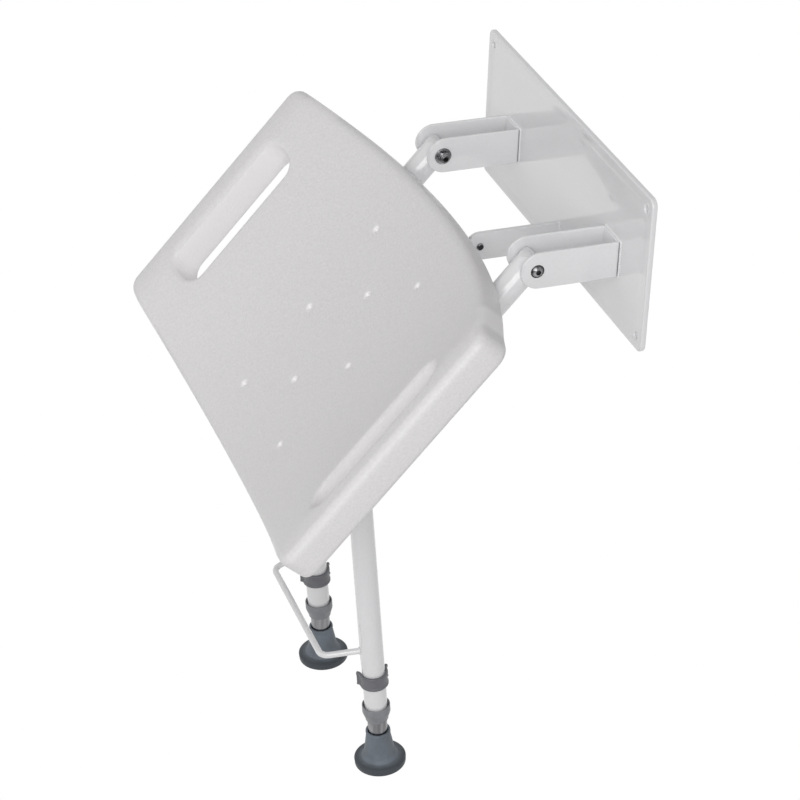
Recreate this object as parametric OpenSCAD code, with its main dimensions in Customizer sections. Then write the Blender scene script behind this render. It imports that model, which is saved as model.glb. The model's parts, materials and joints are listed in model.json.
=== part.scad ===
// Fold down wall seat: a wall plate with two clevises carries a hinged seat frame, and a
// link keeps the two height-adjustable legs upright while the seat folds.
// X runs along the wall, -Y out of it and +Z up. The origin is the middle of the plate's
// back face. The seat hangs at its lower stop, as it does before it stands on a floor.

/* [Wall plate] */
// Width of the plate
plate_w = 380; // [360:2:440]
// Height of the plate
plate_h = 148; // [136:2:190]
// Thickness of the plate
plate_t = 5; // [3:0.5:8]
// Corner radius of the plate
plate_corner_r = 8; // [3:1:12]
// Distance from the plate's end to a bolt hole
bolt_inset_x = 12.5; // [10:0.5:20]
// Distance from the plate's long edge to a bolt hole
bolt_inset_z = 13; // [10:0.5:20]
// Diameter of the wall bolt holes
bolt_hole_d = 7; // [5:0.5:10]

/* [Clevises and link bracket] */
// Outer width of a clevis
clevis_w = 35; // [34:0.5:42]
// Height of a clevis ear
clevis_h = 34.5; // [28:0.5:40]
// Sheet thickness of a clevis
clevis_t = 3; // [2:0.25:4]
// Distance from the plate's face to the seat pivot
arm_reach = 77; // [72:1:95]
// Distance from the seat pivot to an ear's round tip
ear_tip = 15; // [13:0.5:17]
// Height of the seat pivot below the plate's middle
pivot_drop = 9; // [4:0.5:14]
// Height of the seat pivot above the link pivot
link_drop = 43.3; // [40:0.1:46]
// Height of the link bracket's bar
bracket_h = 27.5; // [20:0.5:32]
// Thickness of the link bracket's bar
bracket_t = 5; // [3:0.5:7]

/* [Seat frame] */
// Outer diameter of the seat tubes
seat_tube_d = 25.4; // [22:0.2:26]
// Wall of the seat tubes
seat_tube_wall = 1.5; // [1:0.1:2.5]
// Distance from the board's front edge back to the tubes' front ends
tube_setback = 26; // [20:0.5:34]
// Distance from the seat pivot to the tubes' round rear ends
seat_tube_tail = 8.5; // [8:0.25:12]
// Distance from the tubes' front ends back to the leg pivot
leg_setback = 83; // [78:0.5:94]
// Diameter of the front crossbar
crossbar_d = 16; // [12:0.5:18]
// Distance from the seat tubes' front ends back to the crossbar
crossbar_inset = 18; // [14:1:34]

/* [Seat board] */
// Width of the board
board_w = 510; // [490:2:540]
// Depth of the board at its middle
board_d = 303; // [296:1:316]
// Distance from the seat pivot to the board's rear edge
board_rear = 27; // [22:1:29]
// Thickness of the board at its middle
board_t = 26.5; // [24:0.5:32]
// Radius of the dished top
dish_r = 535; // [500:1:640]
// Width of the flatter rim at each side
rim_w = 25.5; // [20:0.5:32]
// Slope of that rim
rim_slope = 9; // [4:0.5:12]
// How far the rear edge bows out at its middle
rear_bow = 24.5; // [15:0.5:32]
// How far the front edge bows out at its middle
front_bow = 23; // [10:0.5:28]
// Corner radius of the board
board_corner_r = 15; // [12:1:32]
// Length of a hand slot
slot_len = 157; // [120:1:170]
// Width of a hand slot
slot_w = 37; // [36:0.5:50]
// Distance from a hand slot to the board's side
slot_edge = 25; // [16:0.5:28]
// Corner radius of a hand slot
slot_corner_r = 17; // [8:0.5:17.5]
// Clearance of the front crossbar in the recess under the board
pocket_clear = 3; // [1:0.1:4]
// Rim left around that recess at the front and rear
pocket_rim = 21; // [16:1:28]
// Diameter of a drain hole
drain_d = 3; // [2:0.5:6]
// Diameter of a drain hole's countersink
drain_sink_d = 8; // [6.5:0.5:14]
// Distance of the outer drain holes from the middle
drain_side = 56; // [40:1:70]
// Distance between the outer drain holes along the depth
drain_pitch = 95; // [80:1:104]
// Distance between the two middle drain holes
drain_mid_pitch = 103; // [60:1:120]

/* [Legs] */
// Distance between the middles of the two legs
leg_span = 177; // [165:0.5:195]
// Space between a leg and its seat tube
tube_space = 5.2; // [4:0.2:8]
// Outer diameter of the leg tubes
leg_tube_d = 22.2; // [20:0.2:23]
// Wall of the leg tubes
leg_tube_wall = 1.2; // [1:0.1:1.4]
// Distance from the leg pivot to the tube's lower end
leg_tube_len = 317.5; // [300:0.5:400]
// Length of tube above the leg pivot
leg_head = 9.5; // [8:0.25:10]
// Diameter of the tube across the legs
brace_d = 16; // [12:0.5:18]
// Distance from the leg pivot down to that tube
brace_down = 18; // [17:0.25:19]
// Distance from the leg pivot down to the link pin
lug_down = 46.6; // [44:0.1:48]
// Thickness of the lug
lug_t = 5; // [3:0.5:7]
// Width of the lug
lug_w = 18; // [14:0.5:22]
// Width of the link
link_w = 12.5; // [11:0.5:14]
// Thickness of the link
link_t = 5; // [3:0.5:7]
// Diameter of the foot bar's rod
bar_d = 6; // [5:0.5:10]
// Height of the foot bar above the leg tubes' lower ends
bar_rise = 74.5; // [60:0.5:110]
// How far the foot bar stands out from the legs' middle
bar_out = 46; // [36:1:60]
// How far each end of the foot bar slants inwards
bar_slant = 13; // [8:1:26]
// Angle of the foot bar below square to the legs
bar_droop = 4; // [0:0.5:8]
// Bend radius of the foot bar
bar_bend_r = 10; // [7:0.5:14]

/* [Height adjustment] */
// Outer diameter of the inner tubes
inner_tube_d = 19; // [17:0.2:19.2]
// Wall of the inner tubes
inner_tube_wall = 1.2; // [1:0.1:1.6]
// Distance between the height holes
hole_pitch = 25; // [20:1:25]
// Number of height holes
hole_count = 7; // [4:1:7]
// Diameter of the height holes
hole_d = 6.4; // [5:0.2:7]
// Height of a clip above its leg tube's lower end
clip_rise = 41; // [30:0.5:47]
// Height of a clip
clip_h = 14.5; // [10:0.5:18]
// Thickness of a clip
clip_t = 2.6; // [2:0.1:3.5]
// Diameter of a clip's pin
clip_pin_d = 5.8; // [4:0.1:6]
// Length of a clip's straight arms
clip_arm = 3.5; // [3:0.5:9]
// Length of the collar at a leg tube's lower end
collar_h = 17; // [14:0.5:24]
// Wall of the collar at its mouth
collar_wall = 2.4; // [1.8:0.1:3.2]
// Height of inner tube that shows between the collar and the foot
inner_show = 14.5; // [10:0.5:20]

/* [Feet] */
// Diameter of a foot's sole
sole_d = 50; // [42:1:60]
// Thickness of the sole at its edge
sole_t = 5; // [3:0.5:8]
// Height of a foot
foot_h = 39; // [34:1:50]
// Diameter of a foot's neck at its top
neck_d = 24.5; // [22:0.5:28]
// Diameter of a foot's neck at the sole
neck_base_d = 31; // [28:0.5:36]

/* [Fasteners] */
// Diameter of the pivot bolts
bolt_d = 6; // [5:0.5:8]
// Diameter of a round bolt head
head_d = 10.5; // [9:0.5:14]
// Diameter of a seat pivot bolt's head
pivot_head_d = 12.5; // [9:0.5:15]
// Height of a round bolt head
head_h = 3.3; // [2.5:0.1:5]
// Width across the flats of a nut
nut_af = 10; // [8:0.5:13]
// Height of a nut
nut_h = 5; // [4:0.5:8]
// Outer diameter of a washer
washer_d = 16; // [12:0.5:18]
// Thickness of a washer
washer_t = 1.2; // [0.8:0.1:2]
// Outer diameter of the pivot bushes
bush_d = 10; // [9:0.5:12]
// Length of the screws that hold the board
screw_len = 42; // [38:1:46]

/* [Angles] */
// Angle of the seat below level at its lower stop
seat_droop = 48.5; // [40:0.5:55]
// Angle of the legs from upright at that stop
leg_tilt = 5.2; // [3:0.1:7]

/* [Hidden] */
// Running clearance of a pin in its hole, at the radius
run_gap = 0.05;
// How far a rod's straight runs lap its bends, and how much thinner it is drawn there
join_lap = 0.5;
bend_thinning = 0.2;
// Steps along half a bowed edge of the board, and around one of its corners
bow_steps = 10;
corner_steps = 8;
// Clearance of a bolt in a fixed hole, at the radius
hole_gap = 0.2;
// Space between faces that pass each other
side_gap = 0.3;
// Space left for a weld between a bar's end and a tube
weld_gap = 0.05;
// Slack of the lug's pin in the link, at the radius
link_slack = 2.8;
// Space between the bracket and the link
link_gap = 0.7;
// Wall of the link's eye round its pin's slack
eye_wall = 3.5;
// Clearance between a clip and its leg, at the radius
clip_gap = 0.1;
// How far an inner tube reaches above its top hole
inner_head = 19;
// How far a cut runs past the face that it opens
over = 1;
// Wall of an end plug's rim, and how far a plug reaches in
plug_t = 1.5;
plug_reach = 9;
// Width of the tool recess in a bolt head, and its depth
socket_af = 4;
socket_depth = 1.8;
// How far a bolt's end stands past its nut or its threads
bolt_end = 1.5;
// Depth of the hollow under a foot
sole_hollow = 1.5;
// Rim of the sole around that hollow
sole_rim = 6;
// How much the sole rises from its edge to the neck
sole_rise = 2.5;
// Thickness of rubber under the inner tube
foot_base = 9;
// Length of the flared end of a clip's arm
clip_flare = 2.5;
// Depth of the collar's open mouth and its clearance to the tube
mouth_depth = 5;
mouth_gap = 1.2;
// Height of the collar's taper, and its wall at the lower end
collar_taper = 8;
collar_end_wall = 1.1;
// How far in from the tube's ends the board's screws sit
screw_inset_rear = 86.5;
screw_inset_front = 40;
// Diameter and height of a board screw's head
screw_head_d = 11;
screw_head_h = 3;
// Wall of a spacer between a leg and its seat tube
spacer_wall = 3.5;
// Depth of a drain hole's countersink
drain_sink = 1.5;
// Width of material kept between the board's recess and a tube
pocket_side = 1.5;
// Rows of drain holes are centred this far in front of the board's middle
drain_shift = 2;
// Hand slots are centred this far in front of the board's middle
slot_shift = 2.5;
// How much larger the underside's radius is than the dished top's
under_more = 75;
// Radius of the round cut at a seat tube's rear end
tail_r = 13.4;
// Steel that closes a seat tube's rear end, at its thinnest
tail_wall = 2;

pivot_y = plate_t + arm_reach;
pivot_z = -pivot_drop;
link_pivot_z = pivot_z - link_drop;
leg_x = leg_span / 2;
// The clevises stand apart by the legs, the seat tubes outside them and the space between
side_x = leg_x + leg_tube_d / 2 + tube_space + seat_tube_d / 2;
ear_gap = clevis_w - 2 * clevis_t;
bolt_r = bolt_d / 2;
leg_r = leg_tube_d / 2;
seat_tube_r = seat_tube_d / 2;
inner_r = inner_tube_d / 2;
leg_bore_r = leg_r - leg_tube_wall;
link_x = -bracket_t / 2 - link_gap - link_t;
// The underside of the dished board rests on both seat tubes
under_r = dish_r + under_more;
under_z = sqrt(pow(under_r + seat_tube_r + side_gap, 2) - side_x * side_x);
board_top = under_z - under_r + board_t;
dish_z = board_top + dish_r;
half_w = board_w / 2;
rim_x = half_w - rim_w;
board_front = board_rear + board_d;
board_mid = (board_rear + board_front) / 2;
// A bowed edge is an arc through its middle and both ends
rear_arc_r = (half_w * half_w + rear_bow * rear_bow) / (2 * rear_bow);
front_arc_r = (half_w * half_w + front_bow * front_bow) / (2 * front_bow);
// Height of the board from its underside's middle to its raised sides
board_rise = top_at(half_w) - board_top + board_t + 2 * over;
// The seat tubes end behind the board's front edge, and carry the crossbar and the legs
seat_tube_reach = board_front - tube_setback;
crossbar_out = seat_tube_reach - crossbar_inset;
leg_pivot_out = seat_tube_reach - leg_setback;
// The recess under the board is as deep as the crossbar needs
pocket_depth = crossbar_d / 2 + pocket_clear + under_r - under_z;
// Board screws sit this far out from the seat pivot
screw_y_rear = screw_inset_rear + seat_tube_tail;
screw_y_front = seat_tube_reach - screw_inset_front;
slot_x = half_w - slot_edge - slot_w / 2;
pocket_x = side_x - seat_tube_r - pocket_side;
hole_travel = hole_pitch * (hole_count - 1);
bar_down = leg_tube_len - bar_rise;
clip_down = leg_tube_len - clip_rise;
inner_top = clip_down - hole_travel - inner_head;
collar_top = leg_tube_len + collar_taper - collar_h;
collar_bottom = collar_top + collar_h;
foot_top = collar_bottom + inner_show;
foot_bottom = foot_top + foot_h;
inner_bottom = foot_bottom - foot_base;
leg_bolt_start = side_x + seat_tube_r;
leg_nut_x = leg_x - leg_r - side_gap - nut_h;
// The foot bar's middle lines cross at its corners
bar_corner_x = leg_x - bar_slant;
bar_arm_len = sqrt(bar_slant * bar_slant + bar_out * bar_out);
bar_turn = atan2(bar_out, bar_slant);
bar_tangent = bar_bend_r * tan(bar_turn / 2);
// The link reaches from its pivot to the lug's pin at the lower stop
lug_y = leg_pivot_out * cos(seat_droop) - lug_down * sin(leg_tilt);
lug_z = -leg_pivot_out * sin(seat_droop) - lug_down * cos(leg_tilt) + link_drop;
link_len = sqrt(lug_y * lug_y + lug_z * lug_z);
link_angle = atan2(-lug_z, lug_y);
eye_r = bolt_r + link_slack + eye_wall;

powder = [0.93, 0.93, 0.94];
board_white = [0.86, 0.85, 0.84];
grey_plastic = [0.48, 0.49, 0.51];
rubber_grey = [0.34, 0.36, 0.4];
chrome = [0.75, 0.75, 0.78];
steel = [0.8, 0.8, 0.82];

// Frames of the moving parts
module at_seat() {
    translate([0, -pivot_y, pivot_z]) rotate([seat_droop, 0, 0]) children();
}

module at_legs() {
    at_seat() translate([0, -leg_pivot_out, 0]) rotate([leg_tilt - seat_droop, 0, 0]) children();
}

module at_link() {
    translate([0, -pivot_y, link_pivot_z]) rotate([link_angle, 0, 0]) children();
}

module both_sides() {
    for (side = [-1, 1]) scale_x(side) children();
}

module scale_x(side) {
    mirror([side < 0 ? 1 : 0, 0, 0]) children();
}

// Shapes that repeat
module rod_x(d, length) {
    rotate([0, 90, 0]) cylinder(d = d, h = length, $fn = 48);
}

module rod_out(d, length) {
    rotate([90, 0, 0]) cylinder(d = d, h = length, $fn = 64);
}

module rod_down(d, length) {
    translate([0, 0, -length]) cylinder(d = d, h = length, $fn = 64);
}

// A round-headed bolt along +X, its head's seat at the origin and its head towards -X
module round_bolt(length, across = head_d) {
    difference() {
        union() {
            rod_x(bolt_d, length);
            rotate([0, -90, 0]) rotate_extrude($fn = 48) round_head(across);
        }
        translate([-head_h - over, 0, 0]) rotate([0, 90, 0]) {
            cylinder(d = socket_af / cos(30), h = socket_depth + over, $fn = 6);
        }
    }
}

module round_head(across) {
    ball_r = (across * across / 4 + head_h * head_h) / (2 * head_h);
    intersection() {
        square([across, head_h]);
        translate([0, head_h - ball_r]) circle(r = ball_r, $fn = 64);
    }
}

module nut() {
    difference() {
        rotate([0, 90, 0]) cylinder(d = nut_af / cos(30), h = nut_h, $fn = 6);
        translate([-over, 0, 0]) rod_x(bolt_d + 2 * run_gap, nut_h + 2 * over);
    }
}

module washer() {
    difference() {
        rod_x(washer_d, washer_t);
        translate([-over, 0, 0]) rod_x(bolt_d + 2 * hole_gap, washer_t + 2 * over);
    }
}

module rounded_rectangle(w, h, r) {
    square([w - 2 * r, h], center = true);
    square([w, h - 2 * r], center = true);
    for (x = [-1, 1], y = [-1, 1]) {
        translate([x * (w / 2 - r), y * (h / 2 - r)]) circle(r = r, $fn = 64);
    }
}

// An end plug along -Y: a cap that closes the tube's end and a hollow stub inside it
module tube_plug(tube_d, wall) {
    bore_d = tube_d - 2 * wall;
    difference() {
        union() {
            rod_out(tube_d, plug_t);
            translate([0, plug_reach, 0]) rod_out(bore_d - 2 * run_gap, plug_reach + plug_t);
        }
        translate([0, plug_reach + over, 0]) rod_out(bore_d - 2 * plug_t - 2 * run_gap, plug_reach + over);
    }
}

// Parts on the wall
module wall_plate() {
    color(powder) rotate([90, 0, 0]) linear_extrude(plate_t) difference() {
        rounded_rectangle(plate_w, plate_h, plate_corner_r);
        for (x = [-1, 1], z = [-1, 1]) {
            translate([x * (plate_w / 2 - bolt_inset_x), z * (plate_h / 2 - bolt_inset_z)]) {
                circle(d = bolt_hole_d, $fn = 48);
            }
        }
    }
}

module clevis() {
    translate([side_x, -plate_t, pivot_z]) difference() {
        union() {
            translate([-clevis_w / 2, -clevis_t, -clevis_h / 2]) cube([clevis_w, clevis_t, clevis_h]);
            for (x = [-clevis_w / 2, clevis_w / 2 - clevis_t]) translate([x, 0, 0]) ear();
        }
        translate([-clevis_w / 2 - over, -arm_reach, 0]) {
            rod_x(bolt_d + 2 * hole_gap, clevis_w + 2 * over);
        }
    }
}

// An ear ends in a half round whose tip lies past the pivot
module ear() {
    round_y = arm_reach + ear_tip - clevis_h / 2;
    translate([0, -round_y, -clevis_h / 2]) cube([clevis_t, round_y, clevis_h]);
    translate([0, -round_y, 0]) rod_x(clevis_h, clevis_t);
}

module left_clevis() {
    color(powder) scale_x(-1) clevis();
}

module right_clevis() {
    color(powder) clevis();
}

module link_bracket() {
    color(powder) translate([-bracket_t / 2, -plate_t, link_pivot_z]) difference() {
        union() {
            translate([0, -arm_reach, -bracket_h / 2]) cube([bracket_t, arm_reach, bracket_h]);
            translate([0, -arm_reach, 0]) rod_x(bracket_h, bracket_t);
        }
        translate([-over, -arm_reach, 0]) rod_x(bolt_d + 2 * run_gap, bracket_t + 2 * over);
    }
}

// The seat pivot bolts run from the outer ear to a washer and a nut at the inner ear
module pivot_bolts() {
    color(chrome) both_sides() translate([side_x + clevis_w / 2, -pivot_y, pivot_z]) {
        mirror([1, 0, 0]) round_bolt(clevis_w + washer_t + nut_h + bolt_end, pivot_head_d);
    }
}

module pivot_nuts() {
    color(chrome) both_sides() {
        translate([side_x - clevis_w / 2 - washer_t - nut_h, -pivot_y, pivot_z]) nut();
    }
}

module pivot_washers() {
    color(chrome) both_sides() {
        translate([side_x - clevis_w / 2 - washer_t, -pivot_y, pivot_z]) washer();
    }
}

// The link's bolt has its head beyond the link and its threads in the bracket
module link_bolt() {
    color(chrome) translate([link_x, -pivot_y, link_pivot_z]) {
        round_bolt(link_t + link_gap + bracket_t + bolt_end);
    }
}

module link_bar() {
    color(powder) at_link() translate([link_x, 0, 0]) difference() {
        union() {
            translate([0, -link_len, -link_w / 2]) cube([link_t, link_len, link_w]);
            rod_x(link_w, link_t);
            translate([0, -link_len, 0]) rod_x(2 * eye_r, link_t);
        }
        translate([-over, 0, 0]) rod_x(bolt_d + 2 * run_gap, link_t + 2 * over);
        translate([-over, -link_len, 0]) rod_x(bolt_d + 2 * link_slack, link_t + 2 * over);
    }
}

// Parts of the seat
module seat_board() {
    color(board_white) at_seat() difference() {
        intersection() {
            translate([0, 0, board_top - board_t - over]) linear_extrude(board_rise) board_outline();
            union() {
                dish_cylinder(under_r, under_z);
                above_rims(under_z - sqrt(under_r * under_r - rim_x * rim_x));
            }
        }
        dish_cylinder(dish_r, dish_z);
        above_rims(top_at(rim_x));
        board_pocket();
        both_sides() translate([slot_x, -board_mid - slot_shift, -board_t]) {
            linear_extrude(board_w) rounded_rectangle(slot_w, slot_len, slot_corner_r);
        }
        drain_holes();
        for (x = [-side_x, side_x], y = [-screw_y_rear, -screw_y_front]) {
            translate([x, y, -seat_tube_r]) cylinder(d = bolt_d + 2 * run_gap, h = screw_len, $fn = 48);
        }
    }
}

// Height of the dished top at a distance from the middle
function top_at(x) = dish_z - sqrt(dish_r * dish_r - x * x);

// A cylinder along the board's depth, about an axis above it
module dish_cylinder(r, axis_z) {
    translate([0, -board_front - over, axis_z]) rotate([-90, 0, 0]) {
        cylinder(r = r, h = board_d + 2 * over, $fn = 360);
    }
}

// All that lies above the sloping face of each rim, from its inner edge's height
module above_rims(z) {
    both_sides() translate([rim_x, -board_front - over, z]) rotate([0, -rim_slope, 0]) {
        translate([-rim_w, 0, 0]) cube([3 * rim_w, board_d + 2 * over, board_rise]);
    }
}

// The recess under the board, between the tubes, leaves room for the legs and the link
module board_pocket() {
    difference() {
        translate([-pocket_x, -board_front + pocket_rim, board_top - board_t - over]) {
            cube([2 * pocket_x, board_d - 2 * pocket_rim, board_rise]);
        }
        dish_cylinder(under_r - pocket_depth, under_z);
    }
}

// The board's outline on X and Y: straight sides, bowed long edges and round corners
module board_outline() {
    polygon(concat(
        edge_points(1, -board_rear, rear_arc_r, 1), edge_points(-1, -board_front, front_arc_r, 1),
        edge_points(-1, -board_front, front_arc_r, -1), edge_points(1, -board_rear, rear_arc_r, -1)));
}

// A quarter of the outline: half a bowed edge and its corner. It faces +Y where face is 1, and
// runs from the edge's middle to the side for the right rear and the left front quarter.
function edge_points(face, mid_y, arc_r, side) =
    let (
        centre_y = mid_y - face * arc_r,
        corner_x = half_w - board_corner_r,
        bow = asin(corner_x / (arc_r - board_corner_r)),
        corner_y = (arc_r - board_corner_r) * cos(bow),
        along = [for (i = [0 : bow_steps]) arc_r * [sin(bow * i / bow_steps), cos(bow * i / bow_steps)]],
        round = [for (i = [1 : corner_steps])
            let (angle = bow + (90 - bow) * i / corner_steps)
            [corner_x + board_corner_r * sin(angle), corner_y + board_corner_r * cos(angle)]],
        points = [for (p = concat(along, round)) [side * p[0], centre_y + face * p[1]]])
    face * side > 0 ? points : [for (i = [len(points) - 1 : -1 : 0]) points[i]];

module drain_holes() {
    middle = -board_mid - drain_shift;
    for (x = [-drain_side, drain_side], row = [-1, 0, 1]) drain_hole(x, middle + row * drain_pitch);
    for (row = [-1, 1]) drain_hole(0, middle + row * drain_mid_pitch / 2);
}

module drain_hole(x, y) {
    translate([x, y, -board_t]) cylinder(d = drain_d, h = board_w, $fn = 32);
    translate([x, y, top_at(x) - drain_sink]) cylinder(d = drain_sink_d, h = board_t, $fn = 32);
}

// A seat tube's rear end is closed and round, so that it clears the clevis as it turns
module seat_tube() {
    round_y = seat_tube_tail - tail_r;
    bore_r = seat_tube_r - seat_tube_wall;
    bore_y = round_y + sqrt(tail_r * tail_r - bore_r * bore_r) - tail_wall;
    translate([side_x, 0, 0]) difference() {
        intersection() {
            translate([0, seat_tube_tail + over, 0]) {
                rod_out(seat_tube_d, seat_tube_tail + over + seat_tube_reach);
            }
            union() {
                translate([-seat_tube_d, round_y, 0]) rod_x(2 * tail_r, 2 * seat_tube_d);
                translate([-seat_tube_d, -seat_tube_reach, -tail_r - over]) {
                    cube([2 * seat_tube_d, seat_tube_reach + round_y, 2 * (tail_r + over)]);
                }
            }
        }
        translate([0, bore_y, 0]) rod_out(2 * bore_r, bore_y + seat_tube_reach + over);
        translate([-seat_tube_d, 0, 0]) rod_x(bush_d + 2 * run_gap, 2 * seat_tube_d);
        translate([-seat_tube_d, -leg_pivot_out, 0]) rod_x(bolt_d + 2 * hole_gap, 2 * seat_tube_d);
        for (y = [-screw_y_rear, -screw_y_front]) {
            translate([0, y, seat_tube_d]) rod_down(bolt_d + 2 * hole_gap, 2 * seat_tube_d);
        }
    }
}

module left_seat_tube() {
    color(powder) at_seat() scale_x(-1) seat_tube();
}

module right_seat_tube() {
    color(powder) at_seat() seat_tube();
}

// A tube across two tubes, its ends cut round to meet them
module cross_tube(d, wall, reach, across_r) {
    difference() {
        translate([-reach, 0, 0]) rod_x(d, 2 * reach);
        translate([-reach - over, 0, 0]) rod_x(d - 2 * wall, 2 * reach + 2 * over);
        for (side = [-1, 1]) translate([side * reach, 0, 0]) children();
    }
}

module front_crossbar() {
    color(powder) at_seat() translate([0, -crossbar_out, 0]) {
        cross_tube(crossbar_d, seat_tube_wall, side_x) {
            translate([0, crossbar_d, 0]) rod_out(seat_tube_d + 2 * weld_gap, 2 * crossbar_d);
        }
    }
}

module pivot_bushes() {
    color(grey_plastic) at_seat() both_sides() {
        translate([side_x - ear_gap / 2 + side_gap, 0, 0]) difference() {
            rod_x(bush_d, ear_gap - 2 * side_gap);
            translate([-over, 0, 0]) rod_x(bolt_d + 2 * run_gap, ear_gap + 2 * over);
        }
    }
}

module seat_tube_plugs() {
    color(grey_plastic) at_seat() both_sides() translate([side_x, -seat_tube_reach, 0]) {
        tube_plug(seat_tube_d, seat_tube_wall);
    }
}

// Board screws come up from under the seat tubes, their heads against the tube
module board_screws() {
    color(chrome) at_seat() for (x = [-side_x, side_x], y = [-screw_y_rear, -screw_y_front]) {
        translate([x, y, -seat_tube_r]) {
            cylinder(d = bolt_d, h = screw_len - over, $fn = 48);
            rod_down(screw_head_d, screw_head_h);
        }
    }
}

// Leg pivots: bolt head outside the seat tube, nut inside the leg
module leg_pivot_bolts() {
    color(chrome) at_seat() both_sides() translate([leg_bolt_start, -leg_pivot_out, 0]) {
        mirror([1, 0, 0]) round_bolt(leg_bolt_start - leg_nut_x + bolt_end);
    }
}

module leg_pivot_nuts() {
    color(chrome) at_seat() both_sides() translate([leg_nut_x, -leg_pivot_out, 0]) nut();
}

module leg_spacers() {
    spacer_len = tube_space - 2 * side_gap;
    color(grey_plastic) at_seat() both_sides() {
        translate([leg_x + leg_r + side_gap, -leg_pivot_out, 0]) difference() {
            rod_x(bolt_d + 2 * hole_gap + 2 * spacer_wall, spacer_len);
            translate([-over, 0, 0]) rod_x(bolt_d + 2 * hole_gap, spacer_len + 2 * over);
        }
    }
}

// Parts of the legs
module leg_tube() {
    translate([leg_x, 0, 0]) difference() {
        translate([0, 0, leg_head]) rod_down(leg_tube_d, leg_head + leg_tube_len);
        translate([0, 0, leg_head + over]) rod_down(2 * leg_bore_r, leg_head + leg_tube_len + 2 * over);
        translate([-leg_tube_d, 0, 0]) rod_x(bolt_d + 2 * run_gap, 2 * leg_tube_d);
    }
}

// The clip's hole is on the side that both clips push in from, so it isn't mirrored
module clip_hole() {
    translate([0, 0, -clip_down]) rod_x(hole_d, leg_tube_d);
}

module left_leg_tube() {
    color(powder) at_legs() difference() {
        scale_x(-1) leg_tube();
        translate([-leg_x, 0, 0]) clip_hole();
    }
}

module right_leg_tube() {
    color(powder) at_legs() difference() {
        leg_tube();
        translate([leg_x, 0, 0]) clip_hole();
    }
}

module leg_brace() {
    color(powder) at_legs() translate([0, 0, -brace_down]) {
        cross_tube(brace_d, leg_tube_wall, leg_x) {
            translate([0, 0, brace_d]) rod_down(leg_tube_d + 2 * weld_gap, 2 * brace_d);
        }
    }
}

module link_lug() {
    color(powder) at_legs() translate([-lug_t / 2, 0, 0]) difference() {
        union() {
            translate([0, -lug_w / 2, -lug_down]) cube([lug_t, lug_w, lug_down - brace_down]);
            translate([0, 0, -lug_down]) rod_x(lug_w, lug_t);
        }
        translate([-over, 0, -brace_down]) rod_x(brace_d + 2 * weld_gap, lug_t + 2 * over);
        translate([-over, 0, -lug_down]) rod_x(bolt_d + 2 * run_gap, lug_t + 2 * over);
    }
}

// The lug's bolt passes through the link with slack and has its threads in the lug
module lug_bolt() {
    color(chrome) at_legs() translate([link_x - side_gap, 0, -lug_down]) {
        round_bolt(side_gap + link_t + link_gap + lug_t + bolt_end);
    }
}

// The foot bar: a bent rod from leg to leg that stands out in front of them
module foot_bar() {
    color(powder) at_legs() translate([0, 0, -bar_down]) difference() {
        rotate([bar_droop, 0, 0]) {
            straight = bar_corner_x - bar_tangent;
            translate([-straight - join_lap, -bar_out, 0]) rod_x(bar_d, 2 * straight + 2 * join_lap);
            both_sides() translate([bar_corner_x, -bar_out, 0]) bar_end();
        }
        both_sides() translate([leg_x, 0, bar_d]) rod_down(leg_tube_d + 2 * weld_gap, 2 * bar_d);
    }
}

// One bend and the arm behind it, from the corner where the bar's middle lines cross
module bar_end() {
    translate([-bar_tangent, bar_bend_r, 0]) rotate([0, 0, -90]) {
        rotate_extrude(angle = bar_turn, $fn = 96) translate([bar_bend_r, 0]) {
            circle(d = bar_d - bend_thinning, $fn = 48);
        }
    }
    rotate([0, 0, bar_turn]) translate([bar_tangent - join_lap, 0, 0]) {
        rod_x(bar_d, bar_arm_len - bar_tangent + join_lap);
    }
}

module leg_plugs() {
    color(grey_plastic) at_legs() both_sides() translate([leg_x, 0, leg_head]) rotate([-90, 0, 0]) {
        leg_plug();
    }
}

// A short plug that stays clear of the pivot bolt
module leg_plug() {
    stub = leg_head - bolt_d;
    rod_out(leg_tube_d, plug_t / 2);
    translate([0, stub, 0]) rod_out(2 * leg_bore_r - 2 * run_gap, stub);
}

// The collar: a cup that opens upwards round the tube, tapered down to the inner tube
module collar() {
    grip_r = leg_r + run_gap;
    guide_r = inner_r + side_gap;
    mouth_r = leg_r + mouth_gap;
    outer_r = leg_r + collar_wall;
    rotate_extrude($fn = 64) polygon([
        [mouth_r, -collar_top], [outer_r, -collar_top],
        [outer_r, -collar_bottom + collar_taper], [guide_r + collar_end_wall, -collar_bottom],
        [guide_r, -collar_bottom], [guide_r, -leg_tube_len], [grip_r, -leg_tube_len],
        [grip_r, -collar_top - mouth_depth]]);
}

module left_collar() {
    color(grey_plastic) at_legs() translate([-leg_x, 0, 0]) collar();
}

module right_collar() {
    color(grey_plastic) at_legs() translate([leg_x, 0, 0]) collar();
}

// The clip: a half ring with straight arms and flared ends, and a pin that locks the height
module clip() {
    ring_r = leg_r + clip_gap;
    pin_tip = inner_r - inner_tube_wall - clip_pin_d / 2;
    translate([0, 0, -clip_down - clip_h / 2]) linear_extrude(clip_h) {
        difference() {
            circle(r = ring_r + clip_t, $fn = 96);
            circle(r = ring_r, $fn = 96);
            translate([-2 * ring_r, -2 * ring_r]) square([2 * ring_r, 4 * ring_r]);
        }
        for (side = [0, 1]) mirror([0, side]) translate([-clip_arm, ring_r]) {
            square([clip_arm, clip_t]);
            translate([-clip_flare, clip_flare]) polygon([
                [0, 0], [clip_flare, -clip_flare], [clip_flare, clip_t - clip_flare], [0, clip_t]]);
        }
    }
    translate([pin_tip, 0, -clip_down]) rod_x(clip_pin_d, ring_r + clip_t / 2 - pin_tip);
}

module left_clip() {
    color(grey_plastic) at_legs() translate([-leg_x, 0, 0]) clip();
}

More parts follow.
